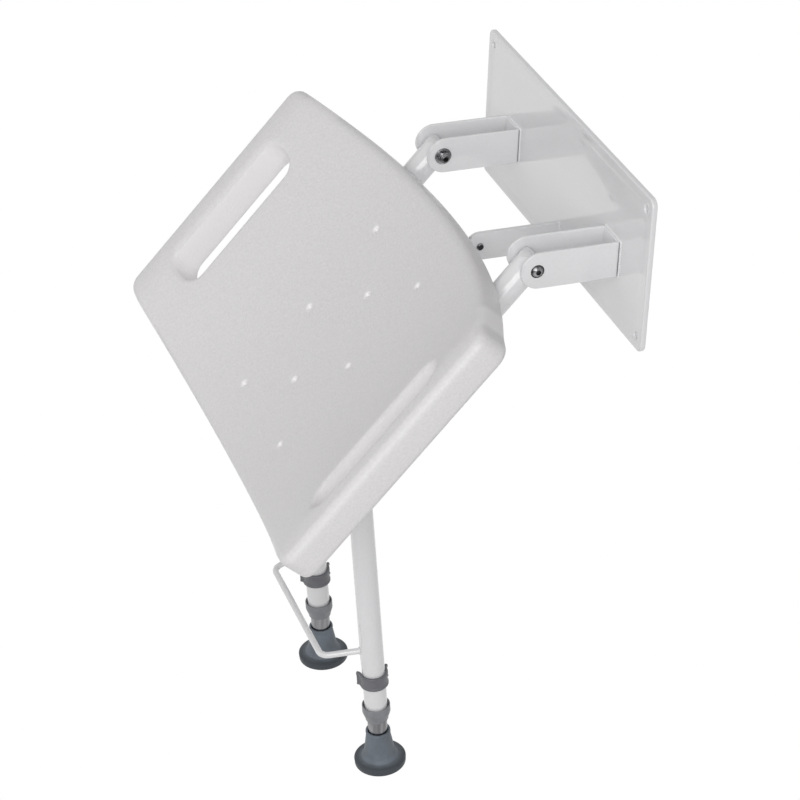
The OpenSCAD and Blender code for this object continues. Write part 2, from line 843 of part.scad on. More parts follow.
module right_clip() {
    color(grey_plastic) at_legs() translate([leg_x, 0, 0]) clip();
}

module inner_leg() {
    difference() {
        translate([0, 0, -inner_top]) rod_down(inner_tube_d, inner_bottom - inner_top);
        translate([0, 0, -inner_top + over]) {
            rod_down(inner_tube_d - 2 * inner_tube_wall, inner_bottom - inner_top + 2 * over);
        }
        for (i = [0 : hole_count - 1]) {
            translate([-inner_tube_d, 0, -clip_down + i * hole_pitch]) rod_x(hole_d, 2 * inner_tube_d);
        }
    }
}

module left_inner_leg() {
    color(steel) at_legs() translate([-leg_x, 0, 0]) inner_leg();
}

module right_inner_leg() {
    color(steel) at_legs() translate([leg_x, 0, 0]) inner_leg();
}

// The foot: a rubber cup on a wide sole
module foot() {
    bore_r = inner_r + run_gap;
    sole_z = -foot_bottom + sole_t;
    rotate_extrude($fn = 96) polygon([
        [bore_r, -foot_top], [neck_d / 2, -foot_top],
        [neck_base_d / 2, sole_z + sole_rise], [sole_d / 2, sole_z], [sole_d / 2, -foot_bottom],
        [sole_d / 2 - sole_rim, -foot_bottom],
        [sole_d / 2 - sole_rim - sole_hollow, -foot_bottom + sole_hollow],
        [0, -foot_bottom + sole_hollow], [0, -inner_bottom], [bore_r, -inner_bottom]]);
}

module left_foot() {
    color(rubber_grey) at_legs() translate([-leg_x, 0, 0]) foot();
}

module right_foot() {
    color(rubber_grey) at_legs() translate([leg_x, 0, 0]) foot();
}

wall_plate();
left_clevis();
right_clevis();
link_bracket();
pivot_bolts();
pivot_nuts();
pivot_washers();
link_bolt();
link_bar();
seat_board();
left_seat_tube();
right_seat_tube();
front_crossbar();
pivot_bushes();
seat_tube_plugs();
board_screws();
leg_pivot_bolts();
leg_pivot_nuts();
leg_spacers();
left_leg_tube();
right_leg_tube();
leg_brace();
link_lug();
lug_bolt();
foot_bar();
leg_plugs();
left_collar();
right_collar();
left_clip();
right_clip();
left_inner_leg();
right_inner_leg();
left_foot();
right_foot();
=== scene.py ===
"""Dresses a fold down wall seat: moulded board, powder-coated steel, plastic fittings and bright bolts."""

import json
import math

import bmesh
import bpy
import numpy as np
from bpy.props import FloatProperty, FloatVectorProperty, IntProperty, PointerProperty
from mathutils import Matrix, Vector
from mathutils.geometry import delaunay_2d_cdt


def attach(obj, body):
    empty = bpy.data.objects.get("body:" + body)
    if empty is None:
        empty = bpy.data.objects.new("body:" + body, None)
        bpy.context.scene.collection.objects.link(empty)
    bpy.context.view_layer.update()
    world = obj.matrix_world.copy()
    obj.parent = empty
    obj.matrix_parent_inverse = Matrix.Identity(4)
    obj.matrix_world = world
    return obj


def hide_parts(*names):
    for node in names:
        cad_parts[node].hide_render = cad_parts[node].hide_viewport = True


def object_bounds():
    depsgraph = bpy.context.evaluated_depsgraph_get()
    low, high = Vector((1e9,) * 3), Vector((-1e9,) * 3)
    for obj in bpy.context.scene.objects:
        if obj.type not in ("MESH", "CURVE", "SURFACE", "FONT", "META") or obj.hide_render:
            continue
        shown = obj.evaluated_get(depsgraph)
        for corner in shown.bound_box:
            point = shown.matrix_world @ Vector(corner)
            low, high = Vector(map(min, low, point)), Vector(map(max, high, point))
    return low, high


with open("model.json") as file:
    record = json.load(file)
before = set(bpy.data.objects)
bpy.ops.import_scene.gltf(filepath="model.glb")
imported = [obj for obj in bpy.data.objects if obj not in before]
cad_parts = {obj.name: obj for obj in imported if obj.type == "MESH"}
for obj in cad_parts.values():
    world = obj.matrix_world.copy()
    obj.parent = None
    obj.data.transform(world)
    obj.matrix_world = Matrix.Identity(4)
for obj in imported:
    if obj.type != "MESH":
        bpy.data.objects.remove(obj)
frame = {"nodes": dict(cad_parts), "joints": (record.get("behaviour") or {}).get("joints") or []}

bl_info = {
    "name": "Fold down wall seat",
    "version": (1, 0, 0),
    "blender": (4, 5, 0),
    "location": "3D View > Sidebar > Wall seat",
    "description": "Dresses the frame of a fold down wall seat with its finished surfaces",
    "category": "Add Mesh",
}

CAD_BOX = [list(corner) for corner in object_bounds()]
JOINTS = {joint["name"]: joint for joint in frame["joints"]}
POWDER, BOARD, PLASTIC = "white_powder_coat", "white_board", "grey_plastic"
RUBBER, STEEL, ALUMINIUM = "grey_rubber", "bright_steel", "bare_aluminium"
COLLAR = "collar_plastic"
ROOT_3 = math.sqrt(3)


def moving_frame(origin, up):
    """A matrix whose X runs along the wall and whose Z points up."""
    x = Vector((1, 0, 0))
    z = Vector(up).normalized()
    turn = Matrix((x, z.cross(x), z)).transposed()
    return Matrix.Translation(origin) @ turn.to_4x4()


def arm_frame(pivot, end):
    """The frame of an arm from its pivot to its end, which lies along -Y."""
    back = Vector(pivot) - Vector(end)
    return moving_frame(pivot, Vector((1, 0, 0)).cross(back))


SEAT_PIVOT = Vector(JOINTS["seat_fold"]["pos_m"])
LEG_PIVOT = Vector(JOINTS["leg_fold"]["pos_m"])
LINK_PIVOT = Vector(JOINTS["link_swing"]["pos_m"])
WALL = Matrix()
SEAT = arm_frame(SEAT_PIVOT, LEG_PIVOT)
LEGS = moving_frame(LEG_PIVOT, -Vector(JOINTS["left_height"]["axis"]))

# Turns for parts made along Z or in XY: to stand along X, along -Y, and flat on the wall
ALONG_X = Matrix.Rotation(math.pi / 2, 4, "Y")
ALONG_OUT = Matrix.Rotation(math.pi / 2, 4, "X")
SIDEWAYS = Matrix(((0, 0, -1), (-1, 0, 0), (0, 1, 0))).to_4x4()

# Gaps between pieces that fit together and between those that touch, and the radius of an eased edge
FIT = 0.0003
TOUCH = 0.0001
EASE = 0.0003


def local_box(node, place=WALL, side=0):
    """Lowest and highest corner of a CAD node, or of its solids on one side, in a moving frame."""
    inverse = place.inverted()
    corners = np.array([inverse @ vertex.co for vertex in frame["nodes"][node].data.vertices])
    if side:
        corners = corners[corners[:, 0] * side > 0]
    return Vector(corners.min(0)), Vector(corners.max(0))


def tube_at(node, place):
    """The X of a tube's middle in a moving frame, and its radius."""
    low, high = local_box(node, place)
    return (low.x + high.x) / 2, (high.x - low.x) / 2


# Settings


class WallSeatMetal(bpy.types.PropertyGroup):
    """Sizes of the steel parts' edges, bends and welds"""

    plate_corner: FloatProperty(name="Plate corner", description="Corner radius of the wall plate",
                                default=0.008, min=0.003, max=0.012, unit="LENGTH")
    plate_edge: FloatProperty(name="Plate edge", description="Radius of the wall plate's long edges",
                              default=0.0014, min=0.0003, max=0.002, unit="LENGTH")
    hole_inset: FloatVectorProperty(name="Hole inset", description="Bolt holes' distance from the edges",
                                    size=2, default=(0.0125, 0.013), subtype="TRANSLATION")
    hole_radius: FloatProperty(name="Hole radius", description="Radius of the wall bolt holes",
                               default=0.0035, min=0.0025, max=0.005, unit="LENGTH")
    sheet: FloatProperty(name="Sheet", description="Thickness of the clevises' sheet",
                         default=0.003, min=0.002, max=0.004, unit="LENGTH")
    bend: FloatProperty(name="Bend", description="Radius of the clevises' bends, at the sheet's middle",
                        default=0.0028, min=0.0018, max=0.005, unit="LENGTH")
    edge: FloatProperty(name="Edge", description="Radius of a cut edge under its powder coat",
                        default=0.0011, min=0.0003, max=0.0012, unit="LENGTH")
    weld: FloatProperty(name="Weld", description="Radius of a weld bead",
                        default=0.0012, min=0.0008, max=0.0025, unit="LENGTH")
    weld_corner: FloatProperty(name="Weld corner", description="Corner radius of the clevises' weld beads",
                               default=0.002, min=0.0, max=0.004, unit="LENGTH")
    weld_pitch: FloatProperty(name="Weld pitch", description="Distance between a weld's ripples",
                              default=0.0022, min=0.001, max=0.004, unit="LENGTH")
    weld_ripple: FloatProperty(name="Weld ripple", description="Depth of a ripple, as a share of the radius",
                               default=0.13, min=0.0, max=0.4)
    bar_bend: FloatProperty(name="Foot bar bend", description="Bend radius of the foot bar",
                            default=0.010, min=0.006, max=0.015, unit="LENGTH")
    bar_slant: FloatProperty(name="Foot bar slant", description="How far the foot bar's ends slant inwards",
                             default=0.013, min=0.008, max=0.026, unit="LENGTH")
    bar_droop: FloatProperty(name="Foot bar droop", description="Foot bar's angle below square to the legs",
                             default=math.radians(4), min=0.0, max=math.radians(8), subtype="ANGLE")
    bar_step: FloatProperty(name="Foot bar step", description="Distance between the rings of the foot bar",
                            default=0.002, min=0.001, max=0.01, unit="LENGTH")
    colour: FloatVectorProperty(name="Powder coat", description="Colour of the powder coat",
                                size=3, default=(0.79, 0.788, 0.80), subtype="COLOR")


class WallSeatBoard(bpy.types.PropertyGroup):
    """Sizes of the moulded board"""

    thickness: FloatProperty(name="Thickness", description="Thickness of the board at its middle",
                             default=0.0265, min=0.024, max=0.032, unit="LENGTH")
    dish: FloatProperty(name="Dish", description="Radius of the dished top",
                        default=0.535, min=0.5, max=0.64, unit="LENGTH")
    under_more: FloatProperty(name="Under more", description="How much larger the underside's radius is",
                              default=0.075, min=0.02, max=0.1, unit="LENGTH")
    rim: FloatProperty(name="Rim", description="Width of the flatter rim at each side",
                       default=0.0255, min=0.02, max=0.032, unit="LENGTH")
    rim_slope: FloatProperty(name="Rim slope", description="Slope of the rim at each side",
                             default=math.radians(9), subtype="ANGLE")
    rim_blend: FloatProperty(name="Rim blend", description="How softly the dish turns into the rim",
                             default=0.0012, min=0.0003, max=0.004, unit="LENGTH")
    rear_bow: FloatProperty(name="Rear bow", description="How far the rear edge bows out at its middle",
                            default=0.0245, min=0.015, max=0.032, unit="LENGTH")
    front_bow: FloatProperty(name="Front bow", description="How far the front edge bows out at its middle",
                             default=0.023, min=0.01, max=0.028, unit="LENGTH")
    corner: FloatProperty(name="Corner", description="Corner radius of the board",
                          default=0.015, min=0.012, max=0.032, unit="LENGTH")
    top_edge: FloatProperty(name="Top edge", description="Radius of the board's upper edge",
                            default=0.0088, min=0.004, max=0.0113, unit="LENGTH")
    bottom_edge: FloatProperty(name="Bottom edge", description="Radius of the board's lower edge",
                               default=0.0055, min=0.002, max=0.007, unit="LENGTH")
    slot: FloatVectorProperty(name="Hand slot", description="Width and length of a hand slot",
                              size=2, default=(0.037, 0.157), subtype="TRANSLATION")
    slot_side: FloatProperty(name="Slot to side", description="Distance from a hand slot to the board's side",
                             default=0.025, min=0.016, max=0.028, unit="LENGTH")
    slot_corner: FloatProperty(name="Slot corner", description="Corner radius of a hand slot",
                               default=0.017, min=0.008, max=0.0175, unit="LENGTH")
    slot_shift: FloatProperty(name="Slot shift", description="How far a slot sits in front of centre",
                              default=0.0025, min=0.0, max=0.01, unit="LENGTH")
    slot_edge: FloatProperty(name="Slot's edge", description="Radius of a slot's upper edge",
                             default=0.0052, min=0.002, max=0.008, unit="LENGTH")
    drain_radius: FloatProperty(name="Drain radius", description="Radius of a drain hole",
                                default=0.0008, min=0.0006, max=0.004, unit="LENGTH")
    drain_edge: FloatProperty(name="Drain edge", description="Radius of a drain hole's dimpled edge",
                              default=0.0042, min=0.001, max=0.005, unit="LENGTH")
    drain_side: FloatProperty(name="Drain side", description="Outer drain holes' distance from the middle",
                              default=0.056, min=0.04, max=0.07, unit="LENGTH")
    drain_pitch: FloatVectorProperty(name="Drain pitch", description="Pitch of the outer and middle holes",
                                     size=2, default=(0.095, 0.103), subtype="TRANSLATION")
    drain_shift: FloatProperty(name="Drain shift", description="How far the holes sit in front of centre",
                               default=0.002, min=0.0, max=0.01, unit="LENGTH")
    pocket: FloatProperty(name="Recess", description="Depth of the recess under the board",
                          default=0.0092, min=0.006, max=0.013, unit="LENGTH")
    pocket_rim: FloatProperty(name="Recess rim", description="Width of the front and rear rims round it",
                              default=0.021, min=0.016, max=0.028, unit="LENGTH")
    mesh_step: FloatProperty(name="Mesh step", description="Distance between the points of the dished top",
                             default=0.009, min=0.004, max=0.02, unit="LENGTH")
    edge_step: FloatProperty(name="Edge step", description="Longest side of a slot's or the recess's outline",
                             default=0.012, min=0.004, max=0.02, unit="LENGTH")
    pebble: FloatProperty(name="Pebble", description="Depth of the moulded texture",
                          default=0.00022, min=0.0, max=0.001, unit="LENGTH")
    colour: FloatVectorProperty(name="Board", description="Colour of the board's plastic",
                                size=3, default=(0.785, 0.77, 0.775), subtype="COLOR")


class WallSeatFittings(bpy.types.PropertyGroup):
    """Sizes and colours of the plastic, rubber and bright fittings"""

    nut_flats: FloatProperty(name="Nut", description="Width across a nut's flats",
                             default=0.010, min=0.008, max=0.013, unit="LENGTH")
    socket_flats: FloatProperty(name="Socket", description="Width across the flats of a bolt head's recess",
                                default=0.004, min=0.003, max=0.006, unit="LENGTH")
    bolt_radius: FloatProperty(name="Bolt radius", description="Radius of a bolt's shank",
                               default=0.003, min=0.0025, max=0.004, unit="LENGTH")
    thread_pitch: FloatProperty(name="Thread pitch", description="Pitch of the bolts' thread",
                                default=0.001, min=0.0008, max=0.00125, unit="LENGTH")
    pivot_thread: FloatProperty(name="Pivot thread", description="Threaded length of a pivot bolt",
                                default=0.012, min=0.004, max=0.02, unit="LENGTH")
    link_thread: FloatProperty(name="Link thread", description="Threaded length of the link's bolts",
                               default=0.007, min=0.004, max=0.01, unit="LENGTH")
    screw_thread: FloatProperty(name="Screw thread", description="Threaded length of a board screw",
                                default=0.02, min=0.01, max=0.03, unit="LENGTH")
    clip_lip: FloatProperty(name="Clip lip", description="How far a clip's edges stand proud of its band",
                            default=0.0006, min=0.0, max=0.001, unit="LENGTH")
    mouth: FloatProperty(name="Mouth", description="Gap between a fitting's open mouth and its tube",
                         default=0.0014, min=0.0008, max=0.002, unit="LENGTH")
    plastic: FloatVectorProperty(name="Grey plastic", description="Colour of clips and plugs",
                                 size=3, default=(0.15, 0.152, 0.165), subtype="COLOR")
    collar: FloatVectorProperty(name="Collar", description="Colour of the lighter grey collars",
                                size=3, default=(0.235, 0.24, 0.255), subtype="COLOR")
    rubber: FloatVectorProperty(name="Grey rubber", description="Colour of the feet",
                                size=3, default=(0.155, 0.178, 0.205), subtype="COLOR")
    steel: FloatVectorProperty(name="Bright steel", description="Colour of bolts, nuts and washers",
                               size=3, default=(0.26, 0.26, 0.27), subtype="COLOR")
    aluminium: FloatVectorProperty(name="Bare aluminium", description="Colour of the inner tubes",
                                   size=3, default=(0.28, 0.28, 0.29), subtype="COLOR")


class WallSeatStage(bpy.types.PropertyGroup):
    """Camera, lamps and floor"""

    camera_place: FloatVectorProperty(name="Camera", description="Where the camera stands",
                                      size=3, default=(1.98252, -0.89324, 1.07177), subtype="TRANSLATION")
    azimuth: FloatProperty(name="Azimuth", description="Camera's direction from straight in front",
                           default=math.radians(69.835), subtype="ANGLE")
    elevation: FloatProperty(name="Elevation", description="How steeply the camera looks down",
                             default=math.radians(31.622), subtype="ANGLE")
    roll: FloatProperty(name="Roll", description="How far the camera leans",
                        default=math.radians(1.822), subtype="ANGLE")
    focal_length: FloatProperty(name="Focal length", description="Lens in millimetres, on a 36 mm sensor",
                                default=119.589, min=20, max=300)
    shift: FloatVectorProperty(name="Shift", description="Lens shift that the photograph's framing needs",
                               size=2, default=(0.01564, 0.03114))
    floor_drop: FloatProperty(name="Floor drop", description="Height of the lowest foot above the floor",
                              default=0.35, min=0.0, max=1.0, unit="LENGTH")
    floor_size: FloatProperty(name="Floor size", description="Half the width of the floor",
                              default=6.0, min=2.0, max=20.0, unit="LENGTH")
    floor_colour: FloatVectorProperty(name="Floor colour", description="Colour of the floor",
                                      size=3, default=(0.82, 0.82, 0.82), subtype="COLOR")
    surround: FloatProperty(name="Surround", description="Light that comes from all sides",
                            default=0.385, min=0.0, max=1.0)
    key_light: FloatProperty(name="Key light", description="Power of the lamp at the near side, in watts",
                             default=24.5, min=0.0, max=200.0)
    key_place: FloatVectorProperty(name="Key light's place", description="From the object's middle",
                                   size=3, default=(1.82, -0.83, 1.12), subtype="TRANSLATION")
    fill_light: FloatProperty(name="Fill light", description="Power of the lamp before the wall, in watts",
                              default=7.0, min=0.0, max=200.0)
    fill_place: FloatVectorProperty(name="Fill light's place", description="From the object's middle",
                                    size=3, default=(-0.69, -2.08, 0.69), subtype="TRANSLATION")
    lamp_size: FloatProperty(name="Lamp size", description="Width of each lamp",
                             default=1.6, min=0.1, max=5.0, unit="LENGTH")


SETTINGS = {"wall_seat_metal": WallSeatMetal, "wall_seat_board": WallSeatBoard,
            "wall_seat_fittings": WallSeatFittings, "wall_seat_stage": WallSeatStage}


# Shapes

# Points nearer than this are one point, in metres
MERGE = 1e-6


def rounded(corners, steps=5):
    """The points of a closed outline, from corners given as (x, y, radius)."""
    points = []
    for i, (x, y, radius) in enumerate(corners):
        corner = Vector((x, y))
        if radius == 0:
            points.append(corner)
            continue
        before = (Vector(corners[i - 1][:2]) - corner).normalized()
        after = (Vector(corners[(i + 1) % len(corners)][:2]) - corner).normalized()
        half = before.angle(after) / 2
        centre = corner + (before + after).normalized() * (radius / math.sin(half))
        start = corner + before * (radius / math.tan(half)) - centre
        end = corner + after * (radius / math.tan(half)) - centre
        turn = start.angle_signed(end)
        points += [centre + Matrix.Rotation(-turn * k / steps, 2) @ start for k in range(steps + 1)]
    return points


def arc(centre, radius, start, end, steps):
    """Points round an arc, from one angle to another in degrees."""
    angles = np.radians(np.linspace(start, end, steps + 1))
    return [Vector((centre[0] + radius * math.cos(a), centre[1] + radius * math.sin(a))) for a in angles]


def ring(centre, radius, count=24):
    """The points of a circle."""
    return arc(centre, radius, 0, 360 - 360 / count, count - 1)


def as_mesh(name, points, faces, sharp=35):
    """A closed mesh with its faces outward, smooth but for edges sharper than an angle in degrees."""
    mesh = bpy.data.meshes.new(name)
    mesh.from_pydata([tuple(point) for point in points], [], faces)
    skin = bmesh.new()
    skin.from_mesh(mesh)
    bmesh.ops.remove_doubles(skin, verts=skin.verts, dist=MERGE)
    bmesh.ops.recalc_face_normals(skin, faces=skin.faces)
    skin.to_mesh(mesh)
    skin.free()
    mesh.shade_smooth()
    mesh.set_sharp_from_angle(angle=math.radians(sharp))
    return mesh


def paint(mesh, name, amount):
    """Writes a number between 0 and 1 on each point of a mesh, for its material to read."""
    layer = mesh.attributes.new(name, "FLOAT", "POINT")
    layer.data.foreach_set("value", [min(1.0, max(0.0, amount(vertex.co))) for vertex in mesh.vertices])
    return mesh


def lathe(name, outline, steps=64, sharp=35):
    """Spins a closed outline of (radius, height) about Z. A third number is half the width across flats."""
    points = []
    for i in range(steps):
        turn = math.tau * i / steps
        to_flat = math.cos((turn + math.pi / 6) % (math.pi / 3) - math.pi / 6)
        for point in outline:
            radius = point[0] if len(point) == 2 else min(point[0], point[2] / to_flat)
            points.append((radius * math.cos(turn), radius * math.sin(turn), point[1]))
    count = len(outline)
    faces = []
    for i in range(steps):
        near, far = i * count, (i + 1) % steps * count
        for j in range(count):
            k = (j + 1) % count
            faces.append((near + j, far + j, far + k, near + k))
    return as_mesh(name, points, faces, sharp)


def swept_strip(name, path, section, scales=None):
    """Sweeps a section, (across, along Z), along an open path in XY. Scales are its heights' shares."""
    path = [Vector(p).to_2d() for p in path]
    scales = scales or [1] * len(path)
    points = []
    for i, p in enumerate(path):
        along = (path[min(i + 1, len(path) - 1)] - path[max(i - 1, 0)]).normalized()
        across = Vector((-along.y, along.x))
        for u, v in section:
            at = p + across * u
            points.append((at.x, at.y, v * scales[i]))
    count = len(section)
    faces = [tuple(range(count)), tuple(range(len(points) - count, len(points)))]
    for i in range(len(path) - 1):
        for j in range(count):
            k = (j + 1) % count
            faces.append((i * count + j, i * count + k, (i + 1) * count + k, (i + 1) * count + j))
    return as_mesh(name, points, faces)


def loop_of(points):
    """An outline with the unit vectors to its left at each point."""
    xy = np.array([tuple(p) for p in points], float)
    along = np.roll(xy, -1, 0) - np.roll(xy, 1, 0)
    along /= np.linalg.norm(along, axis=1)[:, None]
    return xy, np.stack([-along[:, 1], along[:, 0]], 1)


def hole_of(points):
    """As loop_of for a hole, with the vectors into the material round it."""
    xy, left = loop_of(points)
    return xy, -left


# The triangulation works in millimetres, because its points would merge in metres
TO_MM = 1000
NEARNESS = 1e-7
# How near a face's grid comes to its edges, as a share of the grid's step
GRID_MARGIN = 0.55


class Skin:
    """The points and faces of a solid between two surfaces, built from rings of points."""

    def __init__(self):
        self.points = []
        self.faces = []

    def bridge(self, first, second):
        """Faces between two rings of as many points."""
        for i in range(len(first)):
            j = (i + 1) % len(first)
            self.faces.append((first[i], first[j], second[j], second[i]))

    def edge(self, loop, face, radius, lift, steps=6):
        """Rings of a rounded edge, from the face to the wall. Lift is -1 under a face and 1 above it."""
        xy, into = loop
        radius = np.broadcast_to(radius, len(xy))
        rings = []
        for k in range(steps + 1):
            angle = math.pi / 2 * k / steps
            offset = radius * (1 - math.sin(angle))
            depth = radius * (1 - math.cos(angle)) * lift
            start = len(self.points)
            for (x, y), d in zip(xy + into * offset[:, None], depth):
                self.points.append((x, y, face(x, y) + d))
            rings.append(list(range(start, len(self.points))))
        for first, second in zip(rings, rings[1:]):
            self.bridge(first, second)
        return rings[0], rings[-1]

    def through(self, loop, top, bottom, top_radius, bottom_radius):
        """A wall between two faces with both its edges rounded. It returns the rings on the faces."""
        upper, wall_top = self.edge(loop, top, top_radius, -1)
        lower, wall_bottom = self.edge(loop, bottom, bottom_radius, 1)
        self.bridge(wall_top, wall_bottom)
        return upper, lower

    def fill(self, rings, face, step=None):
        """A face between rings, with a grid of points in it where a step is given."""
        source = [i for ids in rings for i in ids]
        spots = [Vector(self.points[i][:2]) * TO_MM for i in source]
        edges, start = [], 0
        for ids in rings:
            count = len(ids)
            edges += [(start + i, start + (i + 1) % count) for i in range(count)]
            start += count
        outline = np.array([tuple(p) for p in spots])
        ends = np.array([(outline[a], outline[b]) for a, b in edges])
        if step:
            low, high = outline.min(0), outline.max(0)
            size = step * TO_MM
            across, along = (np.arange(low[i] + size / 2, high[i], size) for i in (0, 1))
            grid = np.array([(x, y) for x in across for y in along])
            gap = np.sqrt(((grid[:, None] - outline[None]) ** 2).sum(2)).min(1)
            grid = grid[(gap > size * GRID_MARGIN) & inside(grid, ends)]
            spots = spots + [Vector(p) for p in grid]
        found, _, triangles, origin, _, _ = delaunay_2d_cdt(spots, edges, [], 0, NEARNESS)
        index = []
        for p, ids in zip(found, origin):
            if ids and ids[0] < len(source):
                index.append(source[ids[0]])
                continue
            x, y = p.x / TO_MM, p.y / TO_MM
            self.points.append((x, y, face(x, y)))
            index.append(len(self.points) - 1)
        middles = np.array([sum((found[i] for i in t), Vector((0, 0))) / 3 for t in triangles])
        for triangle, kept in zip(triangles, inside(middles, ends)):
            if kept:
                self.faces.append(tuple(index[i] for i in triangle))


def inside(points, ends):
    """Which points lie inside the outlines that these edges make, counting holes as outside."""
    x, y = points[:, 0, None], points[:, 1, None]
    x0, y0, x1, y1 = ends[:, 0, 0], ends[:, 0, 1], ends[:, 1, 0], ends[:, 1, 1]
    spans = (y0 > y) != (y1 > y)
    with np.errstate(divide="ignore", invalid="ignore"):
        crossing = x0 + (y - y0) * (x1 - x0) / (y1 - y0)
    return (spans & (x < crossing)).sum(1) % 2 == 1


def flat_part(name, outline, holes, thickness, edge):
    """A flat part in XY, from Z 0 to its thickness, with its edges rounded."""
    skin = Skin()
    walls = [loop_of(outline)] + [hole_of(hole) for hole in holes]
    faces = [skin.through(w, lambda x, y: thickness, lambda x, y: 0.0, edge, edge) for w in walls]
    skin.fill([upper for upper, _ in faces], lambda x, y: thickness)
    skin.fill([lower for _, lower in faces], lambda x, y: 0.0)
    return as_mesh(name, skin.points, skin.faces)


def joined(name, meshes):
    """One mesh from several, each already in its place."""
    whole = bmesh.new()
    for mesh in meshes:
        whole.from_mesh(mesh)
        bpy.data.meshes.remove(mesh)
    mesh = bpy.data.meshes.new(name)
    whole.to_mesh(mesh)
    whole.free()
    return mesh


def placed(mesh, place):
    """The mesh after it is moved to its place."""
    mesh.transform(place)
    return mesh


def piece(name, mesh, look, body, slot, *nodes):
    """A finished piece that rides on a body in the stead of some nodes."""
    mesh.name = name
    mesh.materials.clear()
    mesh.materials.append(look)
    made = bpy.data.objects.new(name, mesh)
    bpy.context.scene.collection.objects.link(made)
    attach(made, body)
    if nodes:
        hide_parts(*nodes)
    return made


def dress(look, *nodes):
    """Gives CAD nodes their finish."""
    for node in nodes:
        mesh = frame["nodes"][node].data
        mesh.materials.clear()
        mesh.materials.append(look)


# Geometry Nodes


def new_tree(name, inputs):
    """A geometry node tree with a geometry input, named inputs and a geometry output."""
    tree = bpy.data.node_groups.new(name, "GeometryNodeTree")
    tree.interface.new_socket("Geometry", in_out="INPUT", socket_type="NodeSocketGeometry")
    for label, kind in inputs:
        tree.interface.new_socket(label, in_out="INPUT", socket_type=kind)
    tree.interface.new_socket("Geometry", in_out="OUTPUT", socket_type="NodeSocketGeometry")
    return tree, tree.nodes.new("NodeGroupInput"), tree.nodes.new("NodeGroupOutput")


def node(tree, kind, links=(), **values):
    """A node with its properties set, its inputs linked or given."""
    made = tree.nodes.new(kind)
    for key, value in values.items():
        setattr(made, key, value)
    for socket, source in dict(links).items():
        if isinstance(source, bpy.types.NodeSocket):
            tree.links.new(source, made.inputs[socket])
        else:
            made.inputs[socket].default_value = source
    return made


def grown(name, source, tree, values):
    """The plain mesh that a node tree makes from a source object, which is then removed."""
    holder = bpy.data.objects.new(name, source)
    bpy.context.scene.collection.objects.link(holder)
    grower = holder.modifiers.new(name, "NODES")
    grower.node_group = tree
    sockets = {item.name: item.identifier for item in tree.interface.items_tree if item.in_out == "INPUT"}
    for label, value in values.items():
        grower[sockets[label]] = value
    bpy.context.view_layer.update()
    graph = bpy.context.evaluated_depsgraph_get()
    mesh = bpy.data.meshes.new_from_object(holder.evaluated_get(graph), depsgraph=graph)
    bpy.data.objects.remove(holder)
    return mesh


def end_tree(tree, given, result, geometry):
    """Ends a tree: its instances are made real and get their material."""
    real = node(tree, "GeometryNodeRealizeInstances", {"Geometry": geometry})
    finished = node(tree, "GeometryNodeSetMaterial", {
        "Geometry": real.outputs[0], "Material": given.outputs["Material"]})
    tree.links.new(finished.outputs[0], result.inputs[0])
    return tree


def rod_tree():
    """A rod or a weld along a path: filleted, given a rippled radius and swept."""
    tree, given, result = new_tree("Rod along path", [
        ("Radius", "NodeSocketFloat"), ("Bend radius", "NodeSocketFloat"), ("Step", "NodeSocketFloat"),
        ("Ripple", "NodeSocketFloat"), ("Ripple pitch", "NodeSocketFloat"),
        ("Material", "NodeSocketMaterial")])
    bent = node(tree, "GeometryNodeFilletCurve", {
        "Curve": given.outputs["Geometry"], "Radius": given.outputs["Bend radius"], "Limit Radius": True,
        "Count": 10}, mode="POLY")
    even = node(tree, "GeometryNodeResampleCurve", {
        "Curve": bent.outputs[0], "Length": given.outputs["Step"]}, mode="LENGTH")
    run = node(tree, "GeometryNodeSplineParameter")
    turns = node(tree, "ShaderNodeMath", {0: run.outputs["Length"], 1: given.outputs["Ripple pitch"]},
                 operation="DIVIDE")
    phase = node(tree, "ShaderNodeMath", {0: turns.outputs[0], 1: math.tau}, operation="MULTIPLY")
    wave = node(tree, "ShaderNodeMath", {0: phase.outputs[0]}, operation="SINE")
    swell = node(tree, "ShaderNodeMath", {0: wave.outputs[0], 1: given.outputs["Ripple"], 2: 1.0},
                 operation="MULTIPLY_ADD")
    radius = node(tree, "ShaderNodeMath", {0: swell.outputs[0], 1: given.outputs["Radius"]},
                  operation="MULTIPLY")
    sized = node(tree, "GeometryNodeSetCurveRadius", {"Curve": even.outputs[0], "Radius": radius.outputs[0]})
    circle = node(tree, "GeometryNodeCurvePrimitiveCircle", {"Resolution": 20, "Radius": 1.0})
    links = {"Curve": sized.outputs[0], "Profile Curve": circle.outputs[0], "Fill Caps": True}
    swept = node(tree, "GeometryNodeCurveToMesh", links)
    if "Scale" in swept.inputs:
        tree.links.new(radius.outputs[0], swept.inputs["Scale"])
    smooth = node(tree, "GeometryNodeSetShadeSmooth", {"Geometry": swept.outputs[0], "Shade Smooth": True})
    return end_tree(tree, given, result, smooth.outputs[0])


def copies_tree():
    """Copies of a shape on points, each with its Z axis along the point's facing."""
    tree, given, result = new_tree("Copies on points", [
        ("Shape", "NodeSocketObject"), ("Material", "NodeSocketMaterial")])
    shape = node(tree, "GeometryNodeObjectInfo", {"Object": given.outputs["Shape"]})
    facing = node(tree, "GeometryNodeInputNamedAttribute", {"Name": "facing"}, data_type="FLOAT_VECTOR")
    turn = node(tree, "FunctionNodeAlignRotationToVector", {"Vector": facing.outputs[0]}, axis="Z")
    spread = node(tree, "GeometryNodeInstanceOnPoints", {
        "Points": given.outputs["Geometry"], "Instance": shape.outputs["Geometry"],
        "Rotation": turn.outputs[0]})
    return end_tree(tree, given, result, spread.outputs[0])


